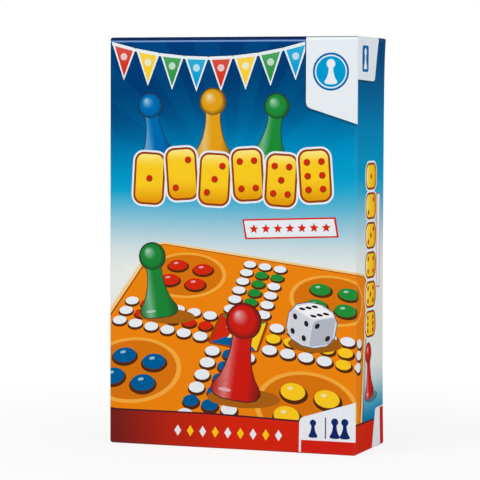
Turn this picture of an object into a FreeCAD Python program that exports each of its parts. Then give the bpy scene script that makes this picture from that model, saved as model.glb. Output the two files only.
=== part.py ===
import FreeCAD, Part
import os
import Sketcher

# A travel ludo game in a telescoping lid-and-base box of paper-wrapped greyboard.
# The box stands upright as a book does: +Z is up, the lid's printed front faces -Y and
# the origin is the middle of the bottom. Lengths are millimetres, angles are degrees.

SIZES = {
    # Closed box over its printed wrap
    "box_width": 121.0,
    "box_height": 190.0,
    "box_depth": 44.5,
    # Box making: board, paper, rounded folds, paper turned in over the rims
    "greyboard": 1.5,
    "wrap_paper": 0.2,
    "fold_radius": 1.1,
    "turn_in": 14.0,
    "lid_play": 1.0,
    # Paper tape that holds each corner of the folded greyboard
    "stay_paper": 0.12,
    "stay_leg": 11.0,
    "stay_margin": 2.0,
    # Thermoformed insert tray
    "tray_wall": 0.6,
    "tray_play": 0.4,
    "tray_draft": 2.0,
    "tray_corner": 6.0,
    "well_foot_room": 3.3,
    # Pawns and their round wells, in four yards of four
    "pawn_height": 22.0,
    "pawn_foot": 11.0,
    "pawn_foot_round": 0.6,
    "pawn_foot_height": 2.2,
    "pawn_neck": 4.2,
    "pawn_neck_height": 13.5,
    "pawn_head": 7.8,
    "well_play": 0.3,
    "well_headroom": 0.6,
    "well_pitch": 19.0,
    "yard_margin_across": 27.3,
    "yard_margin_up": 37.8,
    # Die and its painted pips
    "die_size": 12.0,
    "die_round": 1.4,
    "die_play": 0.4,
    "die_well_corner": 1.5,
    "pip_diameter": 2.2,
    "pip_depth": 0.25,
    "pip_pitch": 3.2,
    # Playing board, folded once with its print inside
    "board_core": 1.6,
    "board_paper": 0.15,
    "board_play": 0.5,
    "fold_gap": 0.1,
    "crease_gap": 0.8,
    "crease_diameter": 0.5,
    # Rules leaflet, one sheet folded once
    "leaflet_width": 84.0,
    "leaflet_height": 148.0,
    "leaf": 0.15,
    "leaf_gap": 0.2,
    # How far a cutting block runs past the face that it opens
    "overrun": 1.0,
}

# Sizes and places that follow from the driving ones
FITS = {
    "mid_height": "sizes.box_height / 2",
    "lid_width": "sizes.box_width",
    "lid_height": "sizes.box_height",
    "lid_front": "-sizes.box_depth / 2",
    "lid_rear": "sizes.box_depth / 2",
    "skin": "sizes.wrap_paper + sizes.greyboard",
    "rim": "2 * sizes.wrap_paper + sizes.greyboard",
    "lid_ceiling": "fits.lid_front + fits.skin",
    "base_width": "fits.lid_width - 2 * fits.rim - 2 * sizes.lid_play",
    "base_height": "fits.lid_height - 2 * fits.rim - 2 * sizes.lid_play",
    "base_front": "fits.lid_ceiling",
    "base_rear": "fits.lid_rear",
    "base_floor": "fits.base_rear - fits.skin",
    "mouth_width": "fits.base_width - 2 * fits.rim",
    "mouth_height": "fits.base_height - 2 * fits.rim",
    "tray_width": "fits.mouth_width - 2 * sizes.tray_play",
    "tray_length": "fits.mouth_height - 2 * sizes.tray_play",
    "yard_pitch_across": "fits.tray_width - 2 * sizes.yard_margin_across",
    "yard_pitch_up": "fits.tray_length - 2 * sizes.yard_margin_up",
    "well_depth": "sizes.pawn_height + sizes.well_headroom",
    "tray_height": "fits.well_depth + sizes.tray_wall + sizes.well_foot_room",
    "flange": "fits.base_floor - fits.tray_height",
    "well_floor": "fits.flange + fits.well_depth",
    "well_floor_radius": "sizes.pawn_foot / 2 + sizes.well_play",
    "well_mouth_radius": "fits.well_floor_radius + fits.well_depth * tan(sizes.tray_draft * 1 deg)",
    "die_well_depth": "sizes.die_size + sizes.well_headroom",
    "die_well_side": "sizes.die_size + 2 * sizes.die_play",
    "die_middle": "fits.flange + fits.die_well_depth - sizes.die_size / 2",
    "leaflet_thickness": "2 * sizes.leaf + sizes.leaf_gap",
    "half_thickness": "sizes.board_core + 2 * sizes.board_paper",
    "board_rear": "fits.flange - fits.leaflet_thickness",
    "crease_plane": "fits.board_rear - fits.half_thickness - sizes.fold_gap / 2",
    "board_side": "fits.mouth_height - 2 * sizes.board_play",
    "half_width": "(fits.board_side - sizes.crease_gap) / 2",
    "half_left": "fits.mouth_width / 2 - sizes.board_play - fits.half_width",
    "crease_across": "fits.half_left - sizes.crease_gap / 2",
    "board_bottom": "fits.mid_height - fits.board_side / 2",
}

PAWN_COLOURS = ("red", "green", "yellow", "blue")
PAWNS_OF_A_COLOUR = 4

# Pips of each number as steps of the pip pitch across and up the face
PIP_STEPS = {
    1: ((0, 0),),
    2: ((-1, -1), (1, 1)),
    3: ((-1, -1), (0, 0), (1, 1)),
    4: ((-1, -1), (-1, 1), (1, -1), (1, 1)),
    5: ((-1, -1), (-1, 1), (0, 0), (1, -1), (1, 1)),
    6: ((-1, -1), (-1, 0), (-1, 1), (1, -1), (1, 0), (1, 1)),
}
# Each die face: its number, its outward normal, and its across and up directions
DIE_FACES = (
    (5, (0, -1, 0), (1, 0, 0), (0, 0, 1)),
    (2, (0, 1, 0), (-1, 0, 0), (0, 0, 1)),
    (3, (1, 0, 0), (0, 1, 0), (0, 0, 1)),
    (4, (-1, 0, 0), (0, -1, 0), (0, 0, 1)),
    (6, (0, 0, 1), (1, 0, 0), (0, 1, 0)),
    (1, (0, 0, -1), (1, 0, 0), (0, -1, 0)),
)

doc = FreeCAD.newDocument("travel_ludo")


def fill_sheet(name, rows, as_text):
    """One spreadsheet with a name and a value on each row, the value under its alias."""
    sheet = doc.addObject("Spreadsheet::Sheet", name)
    for row, (alias, value) in enumerate(rows.items(), start=1):
        sheet.set(f"A{row}", alias)
        sheet.set(f"B{row}", as_text(value))
        sheet.setAlias(f"B{row}", alias)
    doc.recompute()
    return sheet


sizes = fill_sheet("sizes", SIZES, str)
fits = fill_sheet("fits", FITS, lambda formula: "=" + formula.replace("fits.", ""))
sub_parts = []


def value(expression):
    """The number that an expression on the two sheets has now."""
    found = sizes.evalExpression(expression)
    return float(getattr(found, "Value", found))


def bind(thing, **expressions):
    """Tie properties of an object to the sheets, and return it. at_x, at_y and at_z place it."""
    for name, expression in expressions.items():
        path = f"Placement.Base.{name[-1]}" if name.startswith("at_") else name
        thing.setExpression(path, expression)
    return thing


def sub_part(thing, label):
    """Mark a finished object as a piece of the game, under the name of its file."""
    thing.Label = label
    sub_parts.append(thing)
    return thing


def boolean(kind, name, base, tool):
    """A Part::Cut, Part::Fuse or Part::Common of two objects."""
    thing = doc.addObject(f"Part::{kind}", name)
    thing.Base = base
    thing.Tool = tool
    return thing


def gathered(name, members):
    """Several separate blocks as one object, to cut with or to keep together."""
    thing = doc.addObject("Part::Compound", name)
    thing.Links = members
    return thing


def box(name, width, depth, height, left, front, bottom):
    """A block from its three sizes and its lowest corner, all of them expressions."""
    thing = doc.addObject("Part::Box", name)
    bind(thing, Length=width, Width=depth, Height=height)
    return bind(thing, at_x=left, at_y=front, at_z=bottom)


def centred_box(name, width, depth, height, front):
    """A block in the middle of the box front, from its sizes and its front face."""
    return box(name, width, depth, height, f"-({width}) / 2", front,
               f"fits.mid_height - ({height}) / 2")


def origin_plane(body, role):
    """One of a body's own origin planes."""
    return next(plane for plane in body.Origin.OriginFeatures if plane.Role == role)


def new_sketch(body, name, role):
    """An empty sketch on one of a body's origin planes."""
    sketch = body.newObject("Sketcher::SketchObject", name)
    sketch.AttachmentSupport = [(origin_plane(body, role), "")]
    sketch.MapMode = "FlatFace"
    return sketch


def measure(sketch, name, expression, kind, *points):
    """Add one named dimension to a sketch and tie it to the sheets."""
    index = sketch.addConstraint(Sketcher.Constraint(kind, *points, value(expression)))
    sketch.renameConstraint(index, name)
    sketch.setExpression(f"Constraints.{name}", expression)


def relate(sketch, *relations):
    """Add relations that carry no number, such as tangency, to a sketch."""
    for relation in relations:
        sketch.addConstraint(Sketcher.Constraint(*relation))


def line(start, end):
    """A sketch line between two points."""
    return Part.LineSegment(FreeCAD.Vector(*start, 0), FreeCAD.Vector(*end, 0))


def arc(centre, start, end):
    """A sketch arc that turns anticlockwise from start to end."""
    middle = FreeCAD.Vector(*centre, 0)
    first = FreeCAD.Vector(*start, 0) - middle
    last = FreeCAD.Vector(*end, 0) - middle
    flat = FreeCAD.Vector(1, 0, 0)
    up = FreeCAD.Vector(0, 0, 1)
    circle = Part.Circle(middle, up, first.Length)
    return Part.ArcOfCircle(circle, flat.getAngle(first) if first.y >= 0 else -flat.getAngle(first),
                            flat.getAngle(last) if last.y >= 0 else -flat.getAngle(last))


def draw_rectangle(sketch, width, height):
    """A rectangle about the sketch's origin."""
    across, up = value(width) / 2, value(height) / 2
    corners = ((-across, -up), (across, -up), (across, up), (-across, up))
    for index, corner in enumerate(corners):
        sketch.addGeometry(line(corner, corners[(index + 1) % len(corners)]))
    for index in range(len(corners)):
        relate(sketch, ("Coincident", index, 2, (index + 1) % len(corners), 1))
    relate(sketch, ("Horizontal", 0), ("Vertical", 1), ("Horizontal", 2), ("Vertical", 3))
    relate(sketch, ("Symmetric", 0, 1, 1, 2, -1, 1))
    measure(sketch, "width", width, "DistanceX", 0, 1, 0, 2)
    measure(sketch, "height", height, "DistanceY", 1, 1, 1, 2)


def draw_rounded_rectangle(sketch, width, height, corner):
    """A rectangle with round corners about the sketch's origin: four lines, then four arcs."""
    across, up, turn = value(width) / 2, value(height) / 2, value(corner)
    inner_across, inner_up = across - turn, up - turn
    sketch.addGeometry(line((-inner_across, -up), (inner_across, -up)))
    sketch.addGeometry(line((across, -inner_up), (across, inner_up)))
    sketch.addGeometry(line((inner_across, up), (-inner_across, up)))
    sketch.addGeometry(line((-across, inner_up), (-across, -inner_up)))
    sketch.addGeometry(arc((inner_across, -inner_up), (inner_across, -up), (across, -inner_up)))
    sketch.addGeometry(arc((inner_across, inner_up), (across, inner_up), (inner_across, up)))
    sketch.addGeometry(arc((-inner_across, inner_up), (-inner_across, up), (-across, inner_up)))
    sketch.addGeometry(arc((-inner_across, -inner_up), (-across, -inner_up), (-inner_across, -up)))
    for side in range(4):
        relate(sketch, ("Tangent", side, 2, side + 4, 1), ("Tangent", side + 4, 2, (side + 1) % 4, 1))
    relate(sketch, ("Horizontal", 0), ("Vertical", 1), ("Horizontal", 2), ("Vertical", 3))
    relate(sketch, ("Equal", 4, 5), ("Equal", 4, 6), ("Equal", 4, 7))
    relate(sketch, ("Symmetric", 4, 3, 6, 3, -1, 1))
    measure(sketch, "width", width, "DistanceX", 3, 1, 1, 1)
    measure(sketch, "height", height, "DistanceY", 0, 1, 2, 1)
    measure(sketch, "corner", corner, "Radius", 4)


def edges_where(shape, wanted):
    """Names of the edges of a shape that a test picks."""
    return [f"Edge{index}" for index, edge in enumerate(shape.Edges, start=1) if wanted(edge)]


def folded_block(name, width, height, front, rear, radius, closed_side):
    """A block with its four depth edges and the edges of its closed face rounded."""
    body = doc.addObject("PartDesign::Body", name)
    sketch = new_sketch(body, f"{name}_outline", "XZ_Plane")
    draw_rectangle(sketch, width, height)
    pad = body.newObject("PartDesign::Pad", f"{name}_block")
    pad.Profile = sketch
    pad.setExpression("Length", f"({rear}) - ({front})")
    doc.recompute()
    closed = pad.Shape.BoundBox.YMin if closed_side == "front" else pad.Shape.BoundBox.YMax

    def folded(edge):
        ends = [vertex.Point.y for vertex in edge.Vertexes]
        along_depth = abs(ends[0] - ends[1]) > pad.Shape.BoundBox.YLength / 2
        return along_depth or all(abs(end - closed) < pad.Shape.BoundBox.YLength / 2 for end in ends)

    fillet = body.newObject("PartDesign::Fillet", f"{name}_folds")
    fillet.Base = (pad, edges_where(pad.Shape, folded))
    fillet.setExpression("Radius", radius)
    return bind(body, at_y=rear, at_z="fits.mid_height")


def corner_tapes(name, layer, width, height, front, rear):
    """The four corners of a thin layer, each an L of paper tape along the depth."""
    leg = "sizes.stay_leg"
    blocks = []
    for across in (-1, 1):
        for up in (-1, 1):
            left = f"{across} * ({width}) / 2 - {leg}"
            bottom = f"fits.mid_height + {up} * ({height}) / 2 - {leg}"
            blocks.append(box(f"{name}_{len(blocks)}", f"2 * {leg}", f"({rear}) - ({front})",
                              f"2 * {leg}", left, front, bottom))
    return boolean("Common", name, layer, gathered(f"{name}_blocks", blocks))


def wrapped_tray(name, closed_side):
    """One half of the box: folded greyboard, its corner tapes and the glued paper wrap."""
    width, height = f"fits.{name}_width", f"fits.{name}_height"
    front, rear = f"fits.{name}_front", f"fits.{name}_rear"
    paper, wall = "sizes.wrap_paper", "sizes.greyboard"
    core_width, core_height = f"{width} - 2 * {paper}", f"{height} - 2 * {paper}"
    core_front, core_rear = f"{front} + {paper}", f"{rear} - {paper}"
    core_radius = f"sizes.fold_radius - {paper}"
    outside = folded_block(f"{name}_outside", width, height, front, rear,
                           "sizes.fold_radius", closed_side)
    core = folded_block(f"{name}_core", core_width, core_height, core_front, core_rear,
                        core_radius, closed_side)

    # The space inside runs out past the rim, which is at the front of the base and the rear of the lid
    room_width, room_height = f"{core_width} - 2 * {wall}", f"{core_height} - 2 * {wall}"
    room_depth = f"{rear} - {front} - fits.skin + sizes.overrun"
    if closed_side == "front":
        room_front, rim = f"{front} + fits.skin", core_rear
        tape_front, tape_rear = f"{core_front} + sizes.fold_radius", f"{core_rear} - sizes.stay_margin"
        lining_front = f"{rim} - sizes.turn_in"
    else:
        room_front, rim = f"{front} - sizes.overrun", core_front
        tape_front, tape_rear = f"{core_front} + sizes.stay_margin", f"{core_rear} - sizes.fold_radius"
        lining_front = rim
    room = centred_box(f"{name}_room", room_width, room_depth, room_height, room_front)

    stay = "sizes.stay_paper"
    inset = folded_block(f"{name}_inset", f"{core_width} - 2 * {stay}", f"{core_height} - 2 * {stay}",
                         core_front, core_rear, f"{core_radius} - {stay}", closed_side)
    tapes = corner_tapes(f"{name}_tapes", boolean("Cut", f"{name}_tape_layer", core, inset),
                         core_width, core_height, tape_front, tape_rear)
    shell = boolean("Cut", f"{name}_shell", core, room)
    sub_part(boolean("Cut", f"{name}_greyboard", shell, tapes), f"{name}_board")
    sub_part(tapes, f"{name}_corner_tapes")

    # The wrap covers the outside, turns over the rim and lines the walls behind it
    mouth = centred_box(f"{name}_mouth", f"{room_width} - 2 * {paper}", room_depth,
                        f"{room_height} - 2 * {paper}", room_front)
    skin = boolean("Cut", f"{name}_skin", boolean("Cut", f"{name}_paper", outside, core), mouth)
    lining_block = centred_box(f"{name}_lining_block", room_width, "sizes.turn_in", room_height, lining_front)
    lining = boolean("Cut", f"{name}_lining", lining_block, mouth)
    sub_part(boolean("Fuse", f"{name}_sheet", skin, lining), f"{name}_wrap")


def drafted_block(name, width, length, corner, front, rear):
    """A round-cornered block that narrows towards its front by the tray's draft."""
    body = doc.addObject("PartDesign::Body", name)
    sketch = new_sketch(body, f"{name}_outline", "XZ_Plane")
    draw_rounded_rectangle(sketch, width, length, corner)
    pad = body.newObject("PartDesign::Pad", f"{name}_pad")
    pad.Profile = sketch
    bind(pad, Length=f"({rear}) - ({front})", TaperAngle="-sizes.tray_draft")
    return bind(body, at_y=rear, at_z="fits.mid_height")


def drafted_well(name, side, corner, front, depth):
    """A square well with round corners, in the middle, that narrows towards its floor."""
    body = doc.addObject("PartDesign::Body", name)
    sketch = new_sketch(body, f"{name}_outline", "XZ_Plane")
    draw_rounded_rectangle(sketch, side, side, corner)
    pad = body.newObject("PartDesign::Pad", f"{name}_pad")
    pad.Profile = sketch
    bind(pad, Length=depth, TaperAngle="sizes.tray_draft")
    return bind(body, at_y=f"{front} + {depth}", at_z="fits.mid_height")


def pawn_places():
    """Colour, number, and the across and up expressions of each pawn's axis."""
    for index, colour in enumerate(PAWN_COLOURS):
        yard_across, yard_up = (-1, 1, 1, -1)[index], (1, 1, -1, -1)[index]
        for number in range(PAWNS_OF_A_COLOUR):
            pawn_across, pawn_up = (-1, 1, -1, 1)[number], (1, 1, -1, -1)[number]
            across = f"({yard_across} * fits.yard_pitch_across + {pawn_across} * sizes.well_pitch) / 2"
            up = (f"fits.mid_height + ({yard_up} * fits.yard_pitch_up"
                  f" + {pawn_up} * sizes.well_pitch) / 2")
            yield colour, number + 1, across, up


def round_well(name, across, up, grown_by):
    """A pawn's tapered well, from the flange down, grown outwards by a wall where asked."""
    well = doc.addObject("Part::Cone", name)
    well.Placement = FreeCAD.Placement(FreeCAD.Vector(), FreeCAD.Rotation(FreeCAD.Vector(1, 0, 0), -90))
    bind(well, Radius1=f"fits.well_mouth_radius + {grown_by}",
         Radius2=f"fits.well_floor_radius + {grown_by}", Height=f"fits.well_depth + {grown_by}")
    return bind(well, at_x=across, at_y="fits.flange", at_z=up)


def wells(name, grown_by):
    """All the tray's wells as one object."""
    members = [round_well(f"{name}_{colour}_{number}", across, up, grown_by)
               for colour, number, across, up in pawn_places()]
    members.append(drafted_well(f"{name}_die", f"fits.die_well_side + 2 * {grown_by}",
                                f"sizes.die_well_corner + {grown_by}", "fits.flange",
                                f"fits.die_well_depth + {grown_by}"))
    return gathered(name, members)


def insert_tray():
    """The thin formed tray: a drafted block less its wells, less the space under its skin."""
    wall = "sizes.tray_wall"
    block = drafted_block("tray_block", "fits.tray_width", "fits.tray_length", "sizes.tray_corner",
                          "fits.flange", "fits.base_floor")
    under = drafted_block("tray_under", f"fits.tray_width - 2 * {wall}",
                          f"fits.tray_length - 2 * {wall}", f"sizes.tray_corner - {wall}",
                          f"fits.flange + {wall}", "fits.base_floor")
    top = boolean("Cut", "tray_top", block, wells("tray_wells", "0"))
    space = boolean("Cut", "tray_space", under, wells("tray_sleeves", wall))
    sub_part(boolean("Cut", "tray_skin", top, space), "insert_tray")


def draw_pawn(sketch):
    """Half a pawn's outline: round-edged foot, hollow flank, short neck and ball head."""
    foot, edge = value("sizes.pawn_foot / 2"), value("sizes.pawn_foot_round")
    foot_top, neck = value("sizes.pawn_foot_height"), value("sizes.pawn_neck / 2")
    neck_start, head = value("sizes.pawn_neck_height"), value("sizes.pawn_head / 2")
    top = value("sizes.pawn_height")
    flank = ((foot - neck) ** 2 + (neck_start - foot_top) ** 2) / (2 * (foot - neck))
    head_middle = top - head
    neck_end = head_middle - (head ** 2 - neck ** 2) ** 0.5
    # The axis is the sketch's vertical, and the head points down it
    sketch.addGeometry(line((0, 0), (foot - edge, 0)))
    sketch.addGeometry(arc((foot - edge, -edge), (foot, -edge), (foot - edge, 0)))
    sketch.addGeometry(line((foot, -edge), (foot, -foot_top)))
    sketch.addGeometry(arc((neck + flank, -neck_start), (foot, -foot_top), (neck, -neck_start)))
    sketch.addGeometry(line((neck, -neck_start), (neck, -neck_end)))
    sketch.addGeometry(arc((0, -head_middle), (0, -top), (neck, -neck_end)))
    sketch.addGeometry(line((0, -top), (0, 0)))
    relate(sketch, ("Tangent", 0, 2, 1, 2), ("Tangent", 1, 1, 2, 1), ("Coincident", 2, 2, 3, 1),
           ("Coincident", 3, 2, 4, 1), ("Coincident", 4, 2, 5, 2), ("Coincident", 5, 1, 6, 1),
           ("Coincident", 6, 2, 0, 1), ("Coincident", 0, 1, -1, 1), ("Horizontal", 0),
           ("Vertical", 2), ("Vertical", 4), ("Vertical", 6), ("Horizontal", 3, 3, 3, 2),
           ("PointOnObject", 5, 3, -2))
    measure(sketch, "edge_radius", "sizes.pawn_foot_round", "Radius", 1)
    measure(sketch, "foot_radius", "sizes.pawn_foot / 2", "DistanceX", -1, 1, 2, 1)
    measure(sketch, "foot_top", "sizes.pawn_foot_height", "DistanceY", 2, 2, -1, 1)
    measure(sketch, "neck_radius", "sizes.pawn_neck / 2", "DistanceX", -1, 1, 3, 2)
    measure(sketch, "neck_start", "sizes.pawn_neck_height", "DistanceY", 3, 2, -1, 1)
    measure(sketch, "head_radius", "sizes.pawn_head / 2", "Radius", 5)
    measure(sketch, "height", "sizes.pawn_height", "DistanceY", 6, 1, -1, 1)


def pawn(label, across, up):
    """One turned pawn, standing on its well's floor with its head towards the lid."""
    body = doc.addObject("PartDesign::Body", label)
    sketch = new_sketch(body, f"{label}_outline", "XY_Plane")
    draw_pawn(sketch)
    turned = body.newObject("PartDesign::Revolution", f"{label}_turned")
    turned.Profile = sketch
    turned.ReferenceAxis = (sketch, ["V_Axis"])
    turned.Angle = 360
    sub_part(bind(body, at_x=across, at_y="fits.well_floor", at_z=up), label)


def die():
    """A rounded cube with shallow drilled pips, and the paint that fills them."""
    body = doc.addObject("PartDesign::Body", "die_cube")
    sketch = new_sketch(body, "die_outline", "XZ_Plane")
    draw_rectangle(sketch, "sizes.die_size", "sizes.die_size")
    pad = body.newObject("PartDesign::Pad", "die_block")
    pad.Profile = sketch
    pad.setExpression("Length", "sizes.die_size")
    doc.recompute()
    rounding = body.newObject("PartDesign::Fillet", "die_rounding")
    rounding.Base = (pad, edges_where(pad.Shape, lambda edge: True))
    rounding.setExpression("Radius", "sizes.die_round")
    bind(body, at_y="fits.die_middle + sizes.die_size / 2", at_z="fits.mid_height")
    pips = []
    for number, normal, across, up in DIE_FACES:
        for step_across, step_up in PIP_STEPS[number]:
            pips.append(pip(f"pip_{number}_{len(pips)}", normal, across, up, step_across, step_up))
    paint = gathered("pips_paint", pips)
    sub_part(boolean("Cut", "die_drilled", body, paint), "die")
    sub_part(paint, "die_pips")


def pip(name, normal, across, up, step_across, step_up):
    """One pip: a shallow disc let into its face, at its steps of the pitch."""
    disc = doc.addObject("Part::Cylinder", name)
    turn = FreeCAD.Rotation(FreeCAD.Vector(0, 0, 1), FreeCAD.Vector(*normal))
    disc.Placement = FreeCAD.Placement(FreeCAD.Vector(), turn)
    bind(disc, Radius="sizes.pip_diameter / 2", Height="sizes.pip_depth")
    middle = ("0", "fits.die_middle", "fits.mid_height")
    places = [f"{middle[axis]} + ({normal[axis]}) * (sizes.die_size / 2 - sizes.pip_depth)"
              f" + ({across[axis] * step_across + up[axis] * step_up}) * sizes.pip_pitch"
              for axis in range(3)]
    return bind(disc, at_x=places[0], at_y=places[1], at_z=places[2])


def board_half(side, print_face, outwards):
    """One half of the folded board: core, printed sheet on the inside, backing on the outside."""
    paper, core = "sizes.board_paper", "sizes.board_core"
    layers = (("print", paper, "0"), ("core", core, paper), ("backing", paper, f"{paper} + {core}"))
    for layer, thickness, offset in layers:
        inner_face = f"{print_face} + {outwards} * ({offset})"
        front = inner_face if outwards > 0 else f"{inner_face} - {thickness}"
        slab = box(f"board_{side}_{layer}_slab", "fits.half_width", thickness, "fits.board_side",
                   "fits.half_left", front, "fits.board_bottom")
        sub_part(slab, f"board_{side}_{layer}")


def playing_board():
    """The board folded shut: the right half lies on the leaflet, the left half on top of it."""
    board_half("right", "fits.crease_plane + sizes.fold_gap / 2", 1)
    board_half("left", "fits.crease_plane - sizes.fold_gap / 2", -1)
    crease = doc.addObject("Part::Cylinder", "board_crease_roll")
    bind(crease, Radius="sizes.crease_diameter / 2", Height="fits.board_side")
    bind(crease, at_x="fits.crease_across", at_y="fits.crease_plane", at_z="fits.board_bottom")
    sub_part(crease, "board_crease")


def rules_leaflet():
    """One sheet folded once: a thin block less the gap between its two leaves."""
    left = "fits.mouth_width / 2 - sizes.board_play - sizes.leaflet_width"
    front = "fits.flange - fits.leaflet_thickness"
    sheet_block = box("leaflet_block", "sizes.leaflet_width", "fits.leaflet_thickness",
                      "sizes.leaflet_height", left, front, "fits.board_bottom")
    gap = box("leaflet_gap", "sizes.leaflet_width", "sizes.leaf_gap",
              "sizes.leaflet_height + 2 * sizes.overrun", f"{left} + sizes.leaf",
              f"{front} + sizes.leaf", "fits.board_bottom - sizes.overrun")
    sub_part(boolean("Cut", "leaflet_sheet", sheet_block, gap), "rules_leaflet")


wrapped_tray("base", "rear")
wrapped_tray("lid", "front")
insert_tray()
for colour, number, across, up in pawn_places():
    pawn(f"pawn_{colour}_{number}", across, up)
die()
rules_leaflet()
playing_board()
doc.recompute()

# Nothing is written unless every object was built and every piece is sound
faults = [thing.Name for thing in doc.Objects if {"Invalid", "Error"} & set(thing.State)]
for piece in sub_parts:
    if piece.Shape.isNull() or not piece.Shape.isValid() or not piece.Shape.Solids:
        faults.append(piece.Label)
if faults:
    raise RuntimeError("Not built: " + ", ".join(faults))

os.makedirs("parts", exist_ok=True)
for piece in sub_parts:
    piece.Shape.exportStep(f"parts/{piece.Label}.step")
    room = piece.Shape.BoundBox
    print(f"{piece.Label}: {len(piece.Shape.Solids)} solid, {piece.Shape.Volume:.2f} mm3, "
          f"x {room.XMin:.2f} to {room.XMax:.2f}, y {room.YMin:.2f} to {room.YMax:.2f}, "
          f"z {room.ZMin:.2f} to {room.ZMax:.2f}")
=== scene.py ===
# %% [markdown]
# # A travel ludo game in an upright card box
# The real object is a full-depth lid of greyboard with a printed paper wrap, standing on its short side
# over a base that holds the game. The CAD frame gives every solid and every joint. This script dresses that
# frame: it adds the print, the paper, the plastics, the light and the camera, and it moves nothing.

# %% Load the frame
import math

import bmesh
import bpy
from mathutils import Matrix, Vector, geometry


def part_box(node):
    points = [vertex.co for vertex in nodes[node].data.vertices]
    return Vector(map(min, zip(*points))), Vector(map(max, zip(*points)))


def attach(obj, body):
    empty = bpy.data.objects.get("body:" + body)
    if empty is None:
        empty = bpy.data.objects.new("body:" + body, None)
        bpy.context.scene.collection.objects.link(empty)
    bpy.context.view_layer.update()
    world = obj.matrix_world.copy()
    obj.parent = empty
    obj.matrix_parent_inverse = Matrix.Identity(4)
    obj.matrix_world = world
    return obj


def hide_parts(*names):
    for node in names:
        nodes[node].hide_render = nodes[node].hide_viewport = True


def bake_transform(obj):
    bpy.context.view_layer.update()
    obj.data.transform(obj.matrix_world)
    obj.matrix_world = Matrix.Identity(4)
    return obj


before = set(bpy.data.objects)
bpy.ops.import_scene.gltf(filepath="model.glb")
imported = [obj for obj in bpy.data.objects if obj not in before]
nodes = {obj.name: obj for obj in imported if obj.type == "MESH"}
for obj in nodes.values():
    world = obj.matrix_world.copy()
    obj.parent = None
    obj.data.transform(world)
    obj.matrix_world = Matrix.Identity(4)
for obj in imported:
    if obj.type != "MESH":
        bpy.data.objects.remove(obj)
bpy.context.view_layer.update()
MM = 0.001


def box_mm(node):
    """The two corners of a CAD node's box, in millimetres."""
    return [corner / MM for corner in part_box(node)]


def new_object(name, data):
    """A new object of the scene, at the origin."""
    thing = bpy.data.objects.new(name, data)
    bpy.context.scene.collection.objects.link(thing)
    return thing


# %% [markdown]
# ## The camera
# The six corners of the box that the photograph shows were enough to solve for the lens, the distance and
# the viewing angle. The view is long and nearly level, a little to the right of the front, with a trace of
# roll. The numbers are kept as multiples of the box's height, so the framing follows the frame.

# %% Camera at the photograph's angle
lid_low, lid_high = box_mm("lid_wrap")
BOX_HEIGHT = (lid_high.z - lid_low.z) * MM
AZIMUTH, ELEVATION, ROLL = (math.radians(angle) for angle in (20.05, 3.235, 0.217))
TARGET = Vector((-0.0193, 0.0, 0.5031)) * BOX_HEIGHT
DISTANCE = 5.8965 * BOX_HEIGHT
LENS, SENSOR = 179.17, 36.0

back = Vector((math.sin(AZIMUTH) * math.cos(ELEVATION), -math.cos(AZIMUTH) * math.cos(ELEVATION),
               math.sin(ELEVATION)))
right = Vector((math.cos(AZIMUTH), math.sin(AZIMUTH), 0.0))
up = back.cross(right)
rolled_right = right * math.cos(ROLL) + up * math.sin(ROLL)
rolled_up = up * math.cos(ROLL) - right * math.sin(ROLL)
camera = new_object("camera", bpy.data.cameras.new("camera"))
camera.data.lens = LENS
camera.data.sensor_width = SENSOR
camera.matrix_world = Matrix.Translation(TARGET + back * DISTANCE) @ Matrix(
    (rolled_right, rolled_up, back)).transposed().to_4x4()
bpy.context.scene.camera = camera
print("camera stands", round(DISTANCE, 3), "m away")

# %% [markdown]
# ## Helpers for node trees
# Materials and node groups are built in code. A few small helpers keep that readable: they add a node, give
# its inputs plain values or links, and do sums with them.


# %% Node helpers
def feed(tree, node, inputs):
    """Give a node's inputs plain values, or links from other nodes' outputs."""
    for name, source in inputs.items():
        if isinstance(source, bpy.types.NodeSocket):
            tree.links.new(source, node.inputs[name])
        else:
            node.inputs[name].default_value = source


def add_node(tree, kind, inputs=None, **settings):
    """Add a node, set its properties and feed its inputs by name or number."""
    node = tree.nodes.new(kind)
    for name, setting in settings.items():
        setattr(node, name, setting)
    feed(tree, node, inputs or {})
    return node


def math_node(tree, operation, first, second, clamp=False):
    """What a Math node makes of two numbers or outputs."""
    node = add_node(tree, "ShaderNodeMath", {0: first, 1: second}, operation=operation, use_clamp=clamp)
    return node.outputs[0]


def ranged(tree, value, span, onto, **settings):
    """A value carried from one span onto another and held at its ends."""
    inputs = {"Value": value, "From Min": span[0], "From Max": span[1],
              "To Min": onto[0], "To Max": onto[1]}
    return add_node(tree, "ShaderNodeMapRange", inputs, **settings).outputs[0]


print("node helpers ready")

# %% [markdown]
# ## Stage and light
# The photograph is a plain studio picture on white. A large soft lamp stands at the front left, a weaker
# one fills the right side, and a faint one hangs above, since the top fold looks darker than the front. The
# white ground is for the camera: the floor's glow lights nothing, and the world lights the box at less than
# half the strength that the camera sees.

# %% Lamps
BOX_MIDDLE = Vector((0.0, 0.0, 0.095))
# Each lamp has a place in metres, a side in metres and a power in watts
LAMPS = {"key_lamp": ((-0.75, -1.05, 0.85), 0.9, 10.1), "fill_lamp": ((1.2, -0.55, 0.22), 0.9, 7.9),
         "top_lamp": ((0.15, 0.1, 1.2), 0.7, 1.2)}
for name, (place, side, power) in LAMPS.items():
    lamp = new_object(name, bpy.data.lights.new(name, "AREA"))
    lamp.data.size = side
    lamp.data.energy = power
    lamp.location = place
    lamp.rotation_euler = (BOX_MIDDLE - Vector(place)).to_track_quat("-Z", "Y").to_euler()
print("lamps:", list(LAMPS))

# %% White world
WORLD_LIGHT, PURE_WHITE = 0.42, (1.0, 1.0, 1.0, 1.0)


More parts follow.
